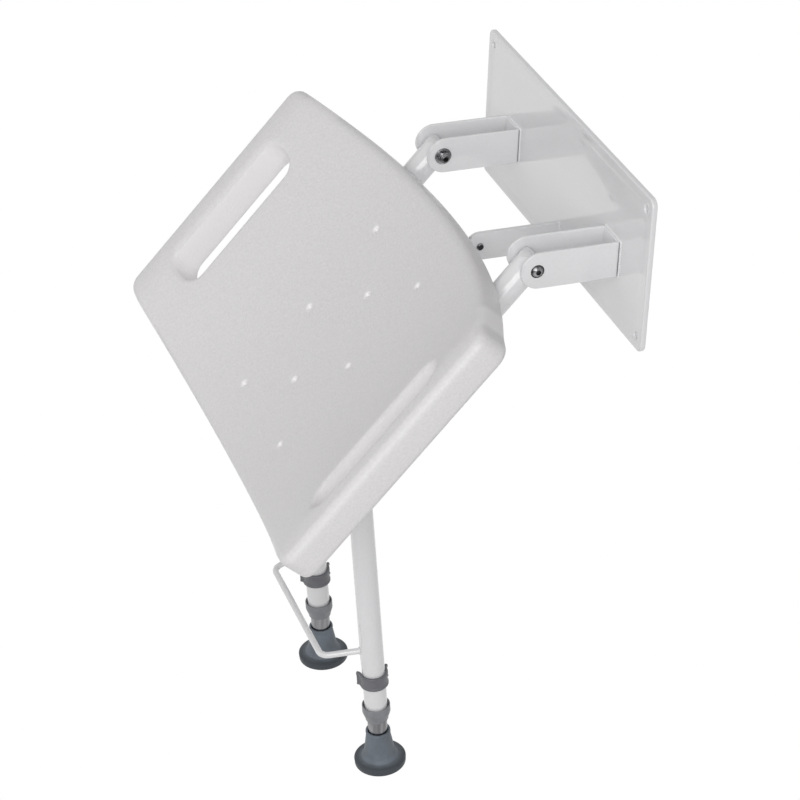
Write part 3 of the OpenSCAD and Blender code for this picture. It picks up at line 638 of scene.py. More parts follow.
def path_curve(name, points, closed=False):
    """A curve through points."""
    curve = bpy.data.curves.new(name, "CURVE")
    curve.dimensions = "3D"
    line = curve.splines.new("POLY")
    line.points.add(len(points) - 1)
    for spot, p in zip(line.points, points):
        spot.co = (*p, 1)
    line.use_cyclic_u = closed
    return curve


def rod(name, points, radius, bend, look, step, closed=False, ripple=0.0, pitch=1.0):
    """A rod of one radius along a path, its bends rounded."""
    return grown(name, path_curve(name, points, closed), tree_named("Rod along path"), {
        "Radius": radius, "Bend radius": bend, "Step": step, "Ripple": ripple, "Ripple pitch": pitch,
        "Material": look})


def weld(name, points, radius, look, bend=0.0):
    """A rippled weld bead round a closed path."""
    metal = bpy.context.scene.wall_seat_metal
    pitch = metal.weld_pitch
    return rod(name, points, radius, bend, look, pitch / 5, True, metal.weld_ripple, pitch)


def plate_weld(name, low, high, look, bend):
    """A weld bead where a part with these corners meets the wall plate."""
    radius = bpy.context.scene.wall_seat_metal.weld
    line = [(x, high.y, z) for x, z in ((low.x, low.z), (high.x, low.z), (high.x, high.z), (low.x, high.z))]
    return weld(name, line, radius, look, bend)


def copies(name, shape, spots, look):
    """One mesh of a shape at each spot: a place, and the facing that the shape's Z lies along."""
    points = bpy.data.meshes.new(name)
    points.from_pydata([tuple(place) for place, _ in spots], [], [])
    facing = points.attributes.new("facing", "FLOAT_VECTOR", "POINT")
    facing.data.foreach_set("vector", [c for _, turn in spots for c in turn])
    model = bpy.data.objects.new(name + "_shape", shape)
    bpy.context.scene.collection.objects.link(model)
    mesh = grown(name, points, tree_named("Copies on points"), {"Shape": model, "Material": look})
    bpy.data.objects.remove(model)
    return mesh


TREES = {"Rod along path": rod_tree, "Copies on points": copies_tree}


def tree_named(name):
    """A node tree, made when it is first asked for."""
    return bpy.data.node_groups.get(name) or TREES[name]()


# Materials


def surface(name, colour, **values):
    """A material with a plain shader, its values given by their sockets' names with underscores."""
    look = bpy.data.materials.new(name)
    look.use_nodes = True
    shader = look.node_tree.nodes["Principled BSDF"]
    shader.inputs["Base Color"].default_value = (*colour, 1)
    for key, value in values.items():
        shader.inputs[key.replace("_", " ")].default_value = value
    return look


# Noise stays mostly between these values
LOW_NOISE, HIGH_NOISE = 0.3, 0.7


def noise(look, scale, detail, stretch=(1, 1, 1), turn=(0, 0, 0)):
    """Noise on the piece's own coordinates, stretched along an axis where stretch is under one."""
    tree = look.node_tree
    where = node(tree, "ShaderNodeTexCoord")
    mapped = node(tree, "ShaderNodeMapping", {
        "Vector": where.outputs["Object"], "Scale": stretch, "Rotation": turn})
    made = node(tree, "ShaderNodeTexNoise", {"Vector": mapped.outputs[0], "Scale": scale, "Detail": detail})
    return made.outputs[0]


def emboss(look, sources, heights):
    """Bumps from several height sources, one on top of the other."""
    tree = look.node_tree
    normal = None
    for source, height in zip(sources, heights):
        links = {"Height": source, "Distance": height, "Strength": 1.0}
        if normal:
            links["Normal"] = normal
        normal = node(tree, "ShaderNodeBump", links).outputs[0]
    tree.links.new(normal, tree.nodes["Principled BSDF"].inputs["Normal"])


def vary(look, socket, source, low, high):
    """Spreads a socket's value between two ends by a source."""
    tree = look.node_tree
    shader = tree.nodes["Principled BSDF"]
    if isinstance(low, float):
        spread = node(tree, "ShaderNodeMapRange", {
            "Value": source, "From Min": LOW_NOISE, "From Max": HIGH_NOISE, "To Min": low, "To Max": high})
        tree.links.new(spread.outputs[0], shader.inputs[socket])
        return
    ramp = node(tree, "ShaderNodeValToRGB", {0: source})
    for stop, place, colour in zip(ramp.color_ramp.elements, (LOW_NOISE, HIGH_NOISE), (low, high)):
        stop.position = place
        stop.color = (*colour, 1)
    tree.links.new(ramp.outputs[0], shader.inputs[socket])


def shade(colour, share):
    """A colour made darker or lighter by a share."""
    return tuple(c * share for c in colour)


def tint(look, attribute, colour):
    """Turns the base colour towards another one by an attribute of the mesh."""
    tree = look.node_tree
    target = tree.nodes["Principled BSDF"].inputs["Base Color"]
    amount = node(tree, "ShaderNodeAttribute", attribute_name=attribute)
    mixed = node(tree, "ShaderNodeMix", {
        0: amount.outputs["Fac"], 6: target.links[0].from_socket, 7: (*colour, 1)}, data_type="RGBA")
    tree.links.new(mixed.outputs[2], target)


def powder_look():
    """White powder coat: glossy, with the faint waves of a baked coat."""
    colour = bpy.context.scene.wall_seat_metal.colour
    look = surface("Powder coat", colour, Roughness=0.12, Coat_Weight=0.6, Coat_Roughness=0.04, IOR=1.5)
    waves = noise(look, scale=420, detail=2.0)
    broad = noise(look, scale=60, detail=2.0)
    emboss(look, [waves, broad], heights=[0.000006, 0.000015])
    vary(look, "Roughness", broad, 0.09, 0.15)
    vary(look, "Base Color", waves, shade(colour, 0.98), shade(colour, 1.01))
    return look


def board_look():
    """Moulded plastic with a pebbled face, and painted light that makes the slots' walls and the drain holes'
    dimples paler.
    """
    settings = bpy.context.scene.wall_seat_board
    colour = settings.colour
    look = surface("Moulded board", colour, Roughness=0.42, IOR=1.46)
    tree = look.node_tree
    where = node(tree, "ShaderNodeTexCoord")
    pebbles = node(tree, "ShaderNodeTexVoronoi", {"Vector": where.outputs["Object"], "Scale": 430.0},
                   feature="SMOOTH_F1")
    fine = noise(look, scale=900, detail=2.0)
    grain = noise(look, scale=420, detail=2.0)
    emboss(look, [pebbles.outputs["Distance"], fine], heights=[settings.pebble, settings.pebble / 4])
    vary(look, "Base Color", grain, shade(colour, 0.955), shade(colour, 1.03))
    # Painted light: paler on the slots' walls and round the drains, where the mesh's attribute says so
    tint(look, "painted_light", shade(colour, 1.2))
    vary(look, "Roughness", fine, 0.33, 0.44)
    return look


def plastic_look(colour=None):
    """Grey plastic with a satin moulded skin."""
    colour = colour or bpy.context.scene.wall_seat_fittings.plastic
    look = surface("Grey plastic", colour, Roughness=0.38, IOR=1.45)
    fine = noise(look, scale=1100, detail=2.0)
    broad = noise(look, scale=90, detail=3.0)
    emboss(look, [fine], heights=[0.00003])
    vary(look, "Base Color", broad, shade(colour, 0.88), shade(colour, 1.12))
    vary(look, "Roughness", broad, 0.33, 0.45)
    return look


def collar_look():
    """The same plastic in the collars' lighter grey."""
    return plastic_look(bpy.context.scene.wall_seat_fittings.collar)


def rubber_look():
    """Grey-blue rubber, dull, with dust in its pores and painted shade that darkens the sole's side."""
    colour = bpy.context.scene.wall_seat_fittings.rubber
    look = surface("Grey rubber", colour, Roughness=0.55, IOR=1.35)
    fine = noise(look, scale=1500, detail=3.0)
    broad = noise(look, scale=70, detail=4.0)
    emboss(look, [fine], heights=[0.00005])
    vary(look, "Base Color", broad, shade(colour, 0.85), shade(colour, 1.18))
    # Painted shade: darker low on the sole, where the mesh's attribute says so
    tint(look, "painted_sole_shade", shade(colour, 0.4))
    vary(look, "Roughness", broad, 0.42, 0.58)
    return look


def steel_look():
    """Bright plated steel, with painted shade in the bolts' recesses and a painted dark reflection round
    their heads' rims.
    """
    colour = bpy.context.scene.wall_seat_fittings.steel
    look = surface("Bright steel", colour, Roughness=0.1, Metallic=1.0, Specular_Tint=(0.3, 0.3, 0.3, 1))
    fine = noise(look, scale=800, detail=3.0)
    emboss(look, [fine], heights=[0.00001])
    vary(look, "Roughness", fine, 0.07, 0.14)
    blotches = noise(look, scale=300, detail=2.0)
    vary(look, "Base Color", blotches, shade(colour, 0.6), shade(colour, 1.4))
    # Painted shade and dark reflection on the bolt heads, where the mesh's attribute says so
    tint(look, "painted_shade_and_reflection", shade(colour, 0.1))
    return look


def aluminium_look():
    """Drawn aluminium with faint lines along the tube, and painted reflections: broad light and dark streaks
    along it in its colour.
    """
    colour = bpy.context.scene.wall_seat_fittings.aluminium
    look = surface("Drawn aluminium", colour, Roughness=0.24, Metallic=1.0)
    tilt = -LEGS.to_euler().x
    drawn_lines_and_painted_streaks = noise(look, scale=1.0, detail=2.0, stretch=(150, 150, 4), turn=(tilt, 0, 0))
    emboss(look, [drawn_lines_and_painted_streaks], heights=[0.000012])
    vary(look, "Roughness", drawn_lines_and_painted_streaks, 0.16, 0.32)
    # Painted reflection: broad light and dark streaks along the tube, painted into the colour
    vary(look, "Base Color", drawn_lines_and_painted_streaks, shade(colour, 0.35), shade(colour, 1.5))
    return look


LOOKS = {POWDER: powder_look, BOARD: board_look, PLASTIC: plastic_look, COLLAR: collar_look,
         RUBBER: rubber_look, STEEL: steel_look, ALUMINIUM: aluminium_look}


def look_for(slot):
    """The material of a slot, made when it is first asked for."""
    name = slot + "_finish"
    found = bpy.data.materials.get(name)
    if not found:
        found = LOOKS[slot]()
        found.name = name
    return found


# Pieces


def rounded_rectangle(low, high, radius, steps=8):
    """The points of a rectangle with round corners, anticlockwise."""
    return rounded([(low[0], low[1], radius), (high[0], low[1], radius),
                    (high[0], high[1], radius), (low[0], high[1], radius)], steps)


class WallPlate(bpy.types.Operator):
    """Make the flat plate with its four bolt holes"""

    bl_idname = "wall_seat.wall_plate"
    bl_label = "Wall plate"

    def execute(self, context):
        metal = context.scene.wall_seat_metal
        low, high = local_box("wall_plate")
        outline = rounded_rectangle((low.x, low.z), (high.x, high.z), metal.plate_corner)
        middles = [(x * (high.x - metal.hole_inset[0]), z * (high.z - metal.hole_inset[1]))
                   for x in (-1, 1) for z in (-1, 1)]
        holes = [ring(middle, metal.hole_radius) for middle in middles]
        mesh = flat_part("plate", outline, holes, high.y - low.y, metal.plate_edge)
        piece("plate", placed(mesh, ALONG_OUT), look_for(POWDER), "wall", POWDER, "wall_plate")
        return {"FINISHED"}


class Clevises(bpy.types.Operator):
    """Make the two bent clevises and the welds that join them to the plate"""

    bl_idname = "wall_seat.clevises"
    bl_label = "Clevises"

    def execute(self, context):
        metal = context.scene.wall_seat_metal
        powder = look_for(POWDER)
        for side in ("left", "right"):
            low, high = local_box(side + "_clevis")
            half = (high.z - low.z) / 2
            middle_z = (high.z + low.z) / 2
            inner, outer = low.x + metal.sheet / 2, high.x - metal.sheet / 2
            back = high.y - metal.sheet / 2
            tip = low.y + half
            # Each arm's round end starts just short of its tip, where its height would be nothing
            angles = np.radians(np.linspace(88, 0, 13))[:-1]
            round_end = [(tip - half * math.sin(a), math.cos(a)) for a in angles]
            corners = rounded([(inner, tip, 0), (inner, back, metal.bend), (outer, back, metal.bend),
                               (outer, tip, 0)], 6)
            path = [(inner, y) for y, _ in round_end] + corners + [(outer, y) for y, _ in round_end[::-1]]
            scales = [s for _, s in round_end] + [1] * len(corners) + [s for _, s in round_end[::-1]]
            section = rounded_rectangle((-metal.sheet / 2, -half), (metal.sheet / 2, half), metal.edge, 3)
            mesh = swept_strip(side, path, section, scales)
            body = placed(mesh, Matrix.Translation((0, 0, middle_z)))
            bead = plate_weld(side + "_weld", low, high, powder, metal.weld_corner)
            piece(side + "_fork", joined(side, [body, bead]), powder, "wall", POWDER, side + "_clevis")
        return {"FINISHED"}


def lever(length, half_start, half_end, square_start=False):
    """The outline of a flat lever along X: from a round or square start to a round eye."""
    neck = math.degrees(math.asin(min(1.0, half_start / half_end)))
    eye = arc((length, 0), half_end, neck - 180, 180 - neck, 28)
    if square_start:
        return [Vector((0, half_start)), Vector((0, -half_start))] + eye
    return arc((0, 0), half_start, 90, 270, 20) + eye


class Link(bpy.types.Operator):
    """Make the link, the bracket that holds it and the lug that it pulls on"""

    bl_idname = "wall_seat.link"
    bl_label = "Link"

    def execute(self, context):
        metal = context.scene.wall_seat_metal
        fittings = context.scene.wall_seat_fittings
        powder = look_for(POWDER)
        pin_low, pin_high = local_box("lug_bolt")
        pin = (pin_low + pin_high) / 2
        hole = ring((0, 0), fittings.bolt_radius)

        low, high = local_box("link_bracket")
        half = (high.z - low.z) / 2
        reach = high.y - low.y - half
        outline = lever(reach, half, half, square_start=True)
        bolt_hole = [p + Vector((reach, 0)) for p in hole]
        mesh = flat_part("bracket", outline, [bolt_hole], high.x - low.x, metal.edge)
        place = Matrix.Translation((high.x, high.y, (low.z + high.z) / 2)) @ SIDEWAYS
        bead = plate_weld("bracket_weld", low, high, powder, metal.weld_corner / 2)
        whole = joined("bracket", [placed(mesh, place), bead])
        piece("bracket", whole, powder, "wall", POWDER, "link_bracket")

        at_link = arm_frame(LINK_PIVOT, Vector((0, pin.y, pin.z)))
        length = (Vector((0, pin.y, pin.z)) - LINK_PIVOT).length
        low, high = local_box("link_bar", at_link)
        eye = -low.y - length
        slack = ring((length, 0), eye - high.y / 2)
        mesh = flat_part("link", lever(length, high.y, eye), [hole, slack], high.x - low.x, metal.edge)
        place = at_link @ Matrix.Translation((high.x, 0, 0)) @ SIDEWAYS
        piece("link", placed(mesh, place), powder, "link", POWDER, "link_bar")

        low, high = local_box("link_lug", LEGS)
        half = (high.y - low.y) / 2
        down = -low.z - half
        top = -high.z
        outline = [p + Vector((top, 0)) for p in lever(down - top, half, half, square_start=True)]
        bolt_hole = [p + Vector((down, 0)) for p in hole]
        mesh = flat_part("lug", outline, [bolt_hole], high.x - low.x, metal.edge)
        hang = Matrix(((0, 0, 1), (0, -1, 0), (-1, 0, 0))).to_4x4()
        mesh = placed(mesh, LEGS @ Matrix.Translation((low.x, 0, 0)) @ hang)
        piece("lug", mesh, powder, "legs", POWDER, "link_lug")
        return {"FINISHED"}


def board_outline(settings, low, high):
    """The board's outline: bowed long edges, straight sides and round corners, anticlockwise."""
    half, radius = high.x, settings.corner
    quarters = []
    for face, middle, bow in ((1, high.y, settings.rear_bow), (-1, low.y, settings.front_bow)):
        arc_radius = (half * half + bow * bow) / (2 * bow)
        spread = math.degrees(math.asin((half - radius) / (arc_radius - radius)))
        rise = (arc_radius - radius) * math.cos(math.radians(spread))
        edge = arc((0, 0), arc_radius, 90, 90 - spread, 26)
        corner = arc((half - radius, rise), radius, 90 - spread, 0, 12)
        quarters.append([Vector((p.x, middle + face * (p.y - arc_radius))) for p in edge + corner[1:]])
    rear, front = quarters
    count = 16
    side = [rear[-1].lerp(front[-1], k / count) for k in range(1, count)]
    right = rear + side + front[::-1]
    left = [Vector((-p.x, p.y)) for p in right[1:-1]]
    return (right + left[::-1])[::-1]


def dished(settings, radius, axis, half):
    """The height of a dished face: an arc that turns into a flatter rim at each side."""
    slope, soft = math.tan(settings.rim_slope), settings.rim_blend
    start = half - settings.rim
    level = axis - math.sqrt(radius ** 2 - start ** 2)

    def height(x, y):
        """The height over any Y, because the dish runs straight from front to rear."""
        hollow = axis - math.sqrt(radius ** 2 - x ** 2)
        rim = level + (abs(x) - start) * slope
        gap = abs(hollow - rim)
        return min(hollow, rim) - soft * math.log1p(math.exp(-gap / soft))

    return height


class Board(bpy.types.Operator):
    """Make the dished board with its hand slots, drain holes and the recess under it"""

    bl_idname = "wall_seat.board"
    bl_label = "Board"

    def execute(self, context):
        settings = context.scene.wall_seat_board
        low, high = local_box("seat_board", SEAT)
        tube_x, tube_radius = tube_at("right_seat_tube", SEAT)
        under = settings.dish + settings.under_more
        axis = math.sqrt((under + tube_radius + FIT) ** 2 - tube_x ** 2)
        crown = axis - under + settings.thickness + settings.dish
        bottom = dished(settings, under, axis, high.x)
        top = dished(settings, settings.dish, crown, high.x)
        floor = dished(settings, under - settings.pocket, axis, high.x)
        middle = (low.y + high.y) / 2
        skin = Skin()
        upper, lower = skin.through(loop_of(board_outline(settings, low, high)), top, bottom,
                                    settings.top_edge, settings.bottom_edge)
        uppers, lowers, drains = [upper], [lower], []

        # Hand slots
        width, length = settings.slot
        for side in (-1, 1):
            slot_x = side * (high.x - settings.slot_side - width / 2)
            slot_y = middle - settings.slot_shift
            outline = rounded_rectangle((slot_x - width / 2, slot_y - length / 2),
                                        (slot_x + width / 2, slot_y + length / 2), settings.slot_corner, 10)
            loop = hole_of(subdivided(outline, settings.edge_step))
            upper, lower = skin.through(loop, top, bottom, settings.slot_edge, settings.bottom_edge / 2)
            uppers.append(upper)
            lowers.append(lower)

        # Drain holes: three on each side, two between them, and all open into the recess
        row = middle - settings.drain_shift
        side_pitch, middle_pitch = settings.drain_pitch
        spots = [(s * settings.drain_side, row + k * side_pitch) for s in (-1, 1) for k in (-1, 0, 1)]
        spots += [(0, row + k * middle_pitch) for k in (-0.5, 0.5)]
        for spot in spots:
            loop = hole_of(ring(spot, settings.drain_radius))
            upper, lower = skin.through(loop, top, floor, settings.drain_edge, FIT * 3)
            uppers.append(upper)
            drains.append(lower)

        # The recess under the board, between the tubes
        recess_x = tube_x - tube_radius - FIT * 5
        recess = rounded_rectangle((-recess_x, low.y + settings.pocket_rim),
                                   (recess_x, high.y - settings.pocket_rim), settings.corner / 2)
        recess = subdivided(recess, settings.edge_step)
        rim, wall_top = skin.edge(hole_of(recess), bottom, FIT * 6, 1)
        ceiling, wall_foot = skin.edge(loop_of(recess), floor, settings.pocket / 3, -1)
        skin.bridge(wall_top, wall_foot)

        skin.fill(uppers, top, settings.mesh_step)
        skin.fill(lowers + [rim], bottom, settings.mesh_step)
        skin.fill(drains + [ceiling], floor, settings.mesh_step)
        reach = settings.drain_radius + settings.drain_edge
        strength = 2.5

        def painted_light(p):
            """Painted light: the slots' walls and the drain holes' dimples are painted paler, standing in for
            the light that brightens them.
            """
            if abs(abs(p.x) - slot_x) < width / 2 + FIT:
                return (top(p.x, p.y) - p.z) / settings.slot_edge
            near = min(math.hypot(p.x - x, p.y - y) for x, y in spots)
            return (1 - near / reach) * strength

        # Paints light on the slots' walls and on the dimples round the drain holes
        mesh = paint(as_mesh("board", skin.points, skin.faces, 60), "painted_light", painted_light)
        piece("board", placed(mesh, SEAT), look_for(BOARD), "seat", BOARD, "seat_board")
        return {"FINISHED"}


def subdivided(points, step):
    """The outline with no side longer than a step."""
    made = []
    for i, p in enumerate(points):
        after = points[(i + 1) % len(points)]
        count = max(1, math.ceil((after - p).length / step))
        made += [p.lerp(after, k / count) for k in range(count)]
    return made


def saddle(inner_radius, outer_radius, x, axis, count=40):
    """Where a cross tube along X meets a tube at x, which runs along this axis."""
    side = 1 if x > 0 else -1
    points = []
    for k in range(count):
        turn = math.tau * k / count
        a, b = inner_radius * math.cos(turn), inner_radius * math.sin(turn)
        meets = x - side * math.sqrt(outer_radius ** 2 - b ** 2)
        points.append(Vector((meets, a, b)) if axis == "Y" else Vector((meets, b, a)))
    return points


def cross_welds(name, node, tube, place, axis, look, weld_radius):
    """Weld beads round both ends of a cross tube."""
    low, high = local_box(node, place)
    radius = (high.z - low.z) / 2
    tube_x, tube_radius = tube_at(tube, place)
    middle = Matrix.Translation((0, (low.y + high.y) / 2, (low.z + high.z) / 2))
    beads = []
    for x in (-tube_x, tube_x):
        line = [place @ middle @ p for p in saddle(radius, tube_radius, x, axis)]
        beads.append(weld(name, line, weld_radius, look))
    return joined(name, beads)


class SeatFrame(bpy.types.Operator):
    """Finish the seat tubes, their crossbar, bushes and plugs"""

    bl_idname = "wall_seat.seat_frame"
    bl_label = "Seat frame"

    def execute(self, context):
        powder, plastic = look_for(POWDER), look_for(PLASTIC)
        radius = context.scene.wall_seat_metal.weld
        dress(powder, "left_seat_tube", "right_seat_tube", "front_crossbar")
        dress(plastic, "pivot_bushes", "seat_tube_plugs", "leg_spacers")
        welds = cross_welds("crossbar_welds", "front_crossbar", "right_seat_tube", SEAT, "Y", powder, radius)
        piece("crossbar_welds", welds, powder, "seat", POWDER)
        return {"FINISHED"}


class Legs(bpy.types.Operator):
    """Finish the leg tubes and the brace, and make the foot bar"""

    bl_idname = "wall_seat.legs"
    bl_label = "Legs"

    def execute(self, context):
        metal = context.scene.wall_seat_metal
        powder = look_for(POWDER)
        dress(powder, "left_leg_tube", "right_leg_tube", "leg_brace")
        dress(look_for(PLASTIC), "leg_plugs")
        welds = cross_welds("brace_welds", "leg_brace", "right_leg_tube", LEGS, "Z", powder, metal.weld)
        piece("brace_welds", welds, powder, "legs", POWDER)

        hang = LEGS @ Matrix.Rotation(metal.bar_droop, 4, "X")
        low, high = local_box("foot_bar", hang)
        radius = (high.z - low.z) / 2
        height = (high.z + low.z) / 2
        out = low.y + radius
        root = height * math.tan(metal.bar_droop)
        leg_x, tube_radius = tube_at("right_leg_tube", LEGS)
        arm = Vector((metal.bar_slant, root - out, 0))
        start = Vector((leg_x, root, 0)) - arm.normalized() * (tube_radius - metal.edge)
        bend = (leg_x - metal.bar_slant, out)
        path = [Vector((s * p[0], p[1], height)) for s, p in ((-1, start), (-1, bend), (1, bend), (1, start))]
        parts = [rod("bar", path, radius, metal.bar_bend, powder, metal.bar_step)]
        for side in (-1, 1):
            along = Vector((side * arm.x, arm.y, 0)).normalized()
            across = along.cross(Vector((0, 0, 1)))
            centre = Vector((side * leg_x, root, height)) - along * (tube_radius + metal.weld / 4)
            line = [centre + (across * math.cos(t) + Vector((0, 0, math.sin(t)))) * radius
                    for t in np.linspace(0, math.tau, 24, endpoint=False)]
            parts.append(weld("bar_weld", line, metal.weld * 0.7, powder))
        piece("foot_rail", placed(joined("foot_rail", parts), hang), powder, "legs", POWDER, "foot_bar")
        return {"FINISHED"}


def leg_sides():
    """Each leg's side, the X of its middle and its tube's radius."""
    for side in ("left", "right"):
        yield side, *tube_at(side + "_leg_tube", LEGS)


class Collars(bpy.types.Operator):
    """Make the grey collars: cups round the leg tubes that narrow to guides for the inner tubes"""

    bl_idname = "wall_seat.collars"
    bl_label = "Collars"

    def execute(self, context):
        mouth = context.scene.wall_seat_fittings.mouth
        for side, x, tube_radius in leg_sides():
            low, high = local_box(side + "_collar", LEGS)
            outer, tall = (high.x - low.x) / 2, high.z - low.z
            guide = tube_at(side + "_inner_leg", LEGS)[1] + FIT
            grip = tube_radius + TOUCH
            shoulder, seat, flare = tall * 0.52, tall * 0.45, tall * 0.66
            foot, lip, wall, edge = tall * 0.06, 0.0013, 0.0011, 0.0004
            outside = [(outer, tall, edge), (outer, shoulder, 0.004), (guide + wall, foot, 0.002),
                       (guide + lip, 0, EASE)]
            bore = [(guide, 0, edge / 2), (guide, seat, EASE), (grip, shoulder, EASE), (grip, flare, edge)]
            outline = rounded([(tube_radius + mouth, tall, EASE)] + outside + bore, 4)
            mesh = lathe(side, outline, 72)
            mesh = placed(mesh, LEGS @ Matrix.Translation((x, 0, low.z)))
            piece(side + "_cup", mesh, look_for(COLLAR), "legs", PLASTIC, side + "_collar")
        return {"FINISHED"}


class Clips(bpy.types.Operator):
    """Make the spring clips, with lips along their bands, flared ends and a pin"""

    bl_idname = "wall_seat.clips"
    bl_label = "Clips"

    def execute(self, context):
        fittings = context.scene.wall_seat_fittings
        for side, x, tube_radius in leg_sides():
            low, high = local_box(side + "_clip", LEGS)
            half = (high.z - low.z) / 2
            inner = tube_radius + TOUCH
            band = high.x - x - inner
            middle = inner + band / 2
            arm = x - low.x
            flare = high.y - (inner + band)
            elbow, edge = 0.004, 0.0005
            around = arc((0, 0), middle, -90, 90, 28)
            foot, tip = Vector((flare - arm, middle)), Vector((edge - arm, middle + flare))
            bend = rounded([(*around[-1], 0), (*foot, elbow), (*tip, 0)], 5)[1:]
            path = [Vector((p.x, -p.y)) for p in bend[::-1]] + around + bend
            outside = -band / 2
            sunk = outside + fittings.clip_lip
            section = rounded([
                (-outside, -half, edge), (-outside, half, edge), (outside, half, EASE * 2),
                (outside, half * 0.6, EASE), (sunk, half * 0.52, EASE), (sunk, -half * 0.62, EASE),
                (outside, -half * 0.7, EASE), (outside, -half, EASE * 2)], 3)
            mesh = swept_strip(side, path, section)
            pin_radius = fittings.bolt_radius * 0.96
            pin_end = tube_at(side + "_inner_leg", LEGS)[1] - fittings.bolt_radius * 1.4
            pin = lathe("pin", rounded([(0, pin_end, 0), (pin_radius, pin_end, EASE * 4),
                                        (pin_radius, middle, TOUCH * 2), (0, middle, 0)], 4), 32)
            whole = joined(side, [mesh, placed(pin, ALONG_X)])
            mesh = placed(whole, LEGS @ Matrix.Translation((x, 0, (low.z + high.z) / 2)))
            piece(side + "_spring", mesh, look_for(PLASTIC), side + "_clip", PLASTIC, side + "_clip")
        return {"FINISHED"}


class Feet(bpy.types.Operator):
    """Make the rubber feet and finish the inner tubes"""

    bl_idname = "wall_seat.feet"
    bl_label = "Feet"

    def execute(self, context):
        gap = context.scene.wall_seat_fittings.mouth / 4
        # The rubber round the tube's mouth, and the radius of most edges
        wall, flare, lip, edge = 0.0020, 0.0034, 0.0025, 0.0004
        # Heights above the ground
        rib, groove, hollow, tread, ankle = 0.0002, 0.0014, 0.0015, 0.0058, 0.0115
        # Painted shade on the sole's side: none above the first height, full below it less the second
        painted_shade_top, painted_shade_fade = 0.0090, 0.0020
        dress(look_for(ALUMINIUM), "left_inner_leg", "right_inner_leg")
        for side, x, _ in leg_sides():
            low, high = local_box(side + "_foot", LEGS)
            tube_radius = tube_at(side + "_inner_leg", LEGS)[1]
            tube_foot = local_box(side + "_inner_leg", LEGS)[0].z - low.z
            sole, tall = (high.x - low.x) / 2, high.z - low.z
            bore, mouth = tube_radius + TOUCH / 2, tube_radius + gap
            rim = mouth + wall
            socket = [(0, tube_foot, 0), (bore, tube_foot, edge), (bore, tall - flare, edge),
                      (mouth, tall - 0.0012, 0.001), (mouth + 0.0002, tall, EASE)]
            neck = [(rim, tall, 0.0005), (rim + 0.0002, tall - lip, 0.0006),
                    (rim - 0.0003, tall - lip - 0.001, 0.0005), (rim + flare, ankle, 0.004)]
            skirt = [(sole * 0.70, 0.0092, 0.0012), (sole * 0.72, 0.0084, 0.0006),
                     (sole - 0.0022, 0.0070, 0.0010), (sole, tread, 0.0009), (sole - 0.0003, 0, 0.0008)]
            # The underside, by distance from the edge: a rim, a groove, a rib and the hollow middle
            underside = ((0.0040, 0, 0.0005), (0.0052, groove, edge), (0.0072, groove, edge),
                         (0.0082, rib, edge), (0.0105, rib, edge), (0.0115, hollow, edge), (sole, hollow, 0))
            rings = [(sole - inset, height, radius) for inset, height, radius in underside]
            boot = lathe(side, rounded(socket + neck + skirt + rings, 4), 96)
            # Paints shade on the sole's side, darker towards the bottom
            paint(boot, "painted_sole_shade", lambda p: (painted_shade_top - p.z) / painted_shade_fade)
            mesh = placed(boot, LEGS @ Matrix.Translation((x, 0, low.z)))
            piece(side + "_boot", mesh, look_for(RUBBER), side + "_lower", RUBBER, side + "_foot")
        return {"FINISHED"}


def thread(radius, start, end, pitch):
    """The side of a threaded shank, from one height up to another, as (radius, height) points."""
    count = max(1, round((end - start) / pitch))
    step = (end - start) / count
    points = []
    for k in range(count):
        points += [(radius, start + k * step), (radius * 0.86, start + (k + 0.5) * step)]
    return points + [(radius, end)]


def bolt_mesh(fittings, head_radius, head_height, length, threaded):
    """A domed bolt with a hexagonal recess: the head's seat is at Z 0, its dome above and its shank below."""
    radius, flats = fittings.bolt_radius, fittings.socket_flats / 2
    ball = (head_radius ** 2 + head_height ** 2) / (2 * head_height)
    wide, deep = flats * 2, head_height * 0.45
    dome = [(r, head_height - ball + math.sqrt(ball ** 2 - r ** 2))
            for r in np.linspace(head_radius, wide / ROOT_3 + TOUCH * 2, 9)]
    top = dome[-1][1]
    recess = [(wide, top - TOUCH, flats + TOUCH), (wide, deep, flats), (0, deep * 0.8)]
    side = thread(radius, EASE * 2 - length, threaded - length, fittings.thread_pitch)
    shank = [(0, -length), (radius * 0.8, -length)] + side + [(radius, 0)]

    def painted_shade_and_reflection(p):
        """Painted shade in the recess and a painted dark reflection round the head's rim."""
        far, unshaded = p.xy.length, 0.62
        return 1 if far < wide * unshaded else (far / head_radius - unshaded) * 3

    return paint(lathe("bolt", shank + dome + recess, 72, 28), "painted_shade_and_reflection", painted_shade_and_reflection)


def nut_mesh(fittings, height):
    """A locking nut: a chamfered hexagon with a round crown, its seat at Z 0."""
    flats, bore = fittings.nut_flats / 2, fittings.bolt_radius + TOUCH / 2
    corner = flats * 2 / ROOT_3
    face, crown, crown_top = flats * 0.97, flats * 0.86, flats * 0.74
    shoulder, chamfer = height * 0.68, EASE * 2
    outline = [(bore, 0), (face, 0), (corner, chamfer, flats), (corner, shoulder - 0.0005, flats),
               (face, shoulder), (crown, shoulder), (crown, height - chamfer), (crown_top, height),
               (bore, height)]
    return lathe("nut", outline, 72, 28)


def washer_mesh(fittings, radius, height):
    """A flat washer with its punched edges eased."""
    bore = fittings.bolt_radius + TOUCH * 2
    outline = [(bore, 0, TOUCH), (radius, 0, EASE), (radius, height, EASE + TOUCH), (bore, height, TOUCH)]
    return lathe("washer", rounded(outline, 3), 48, 28)


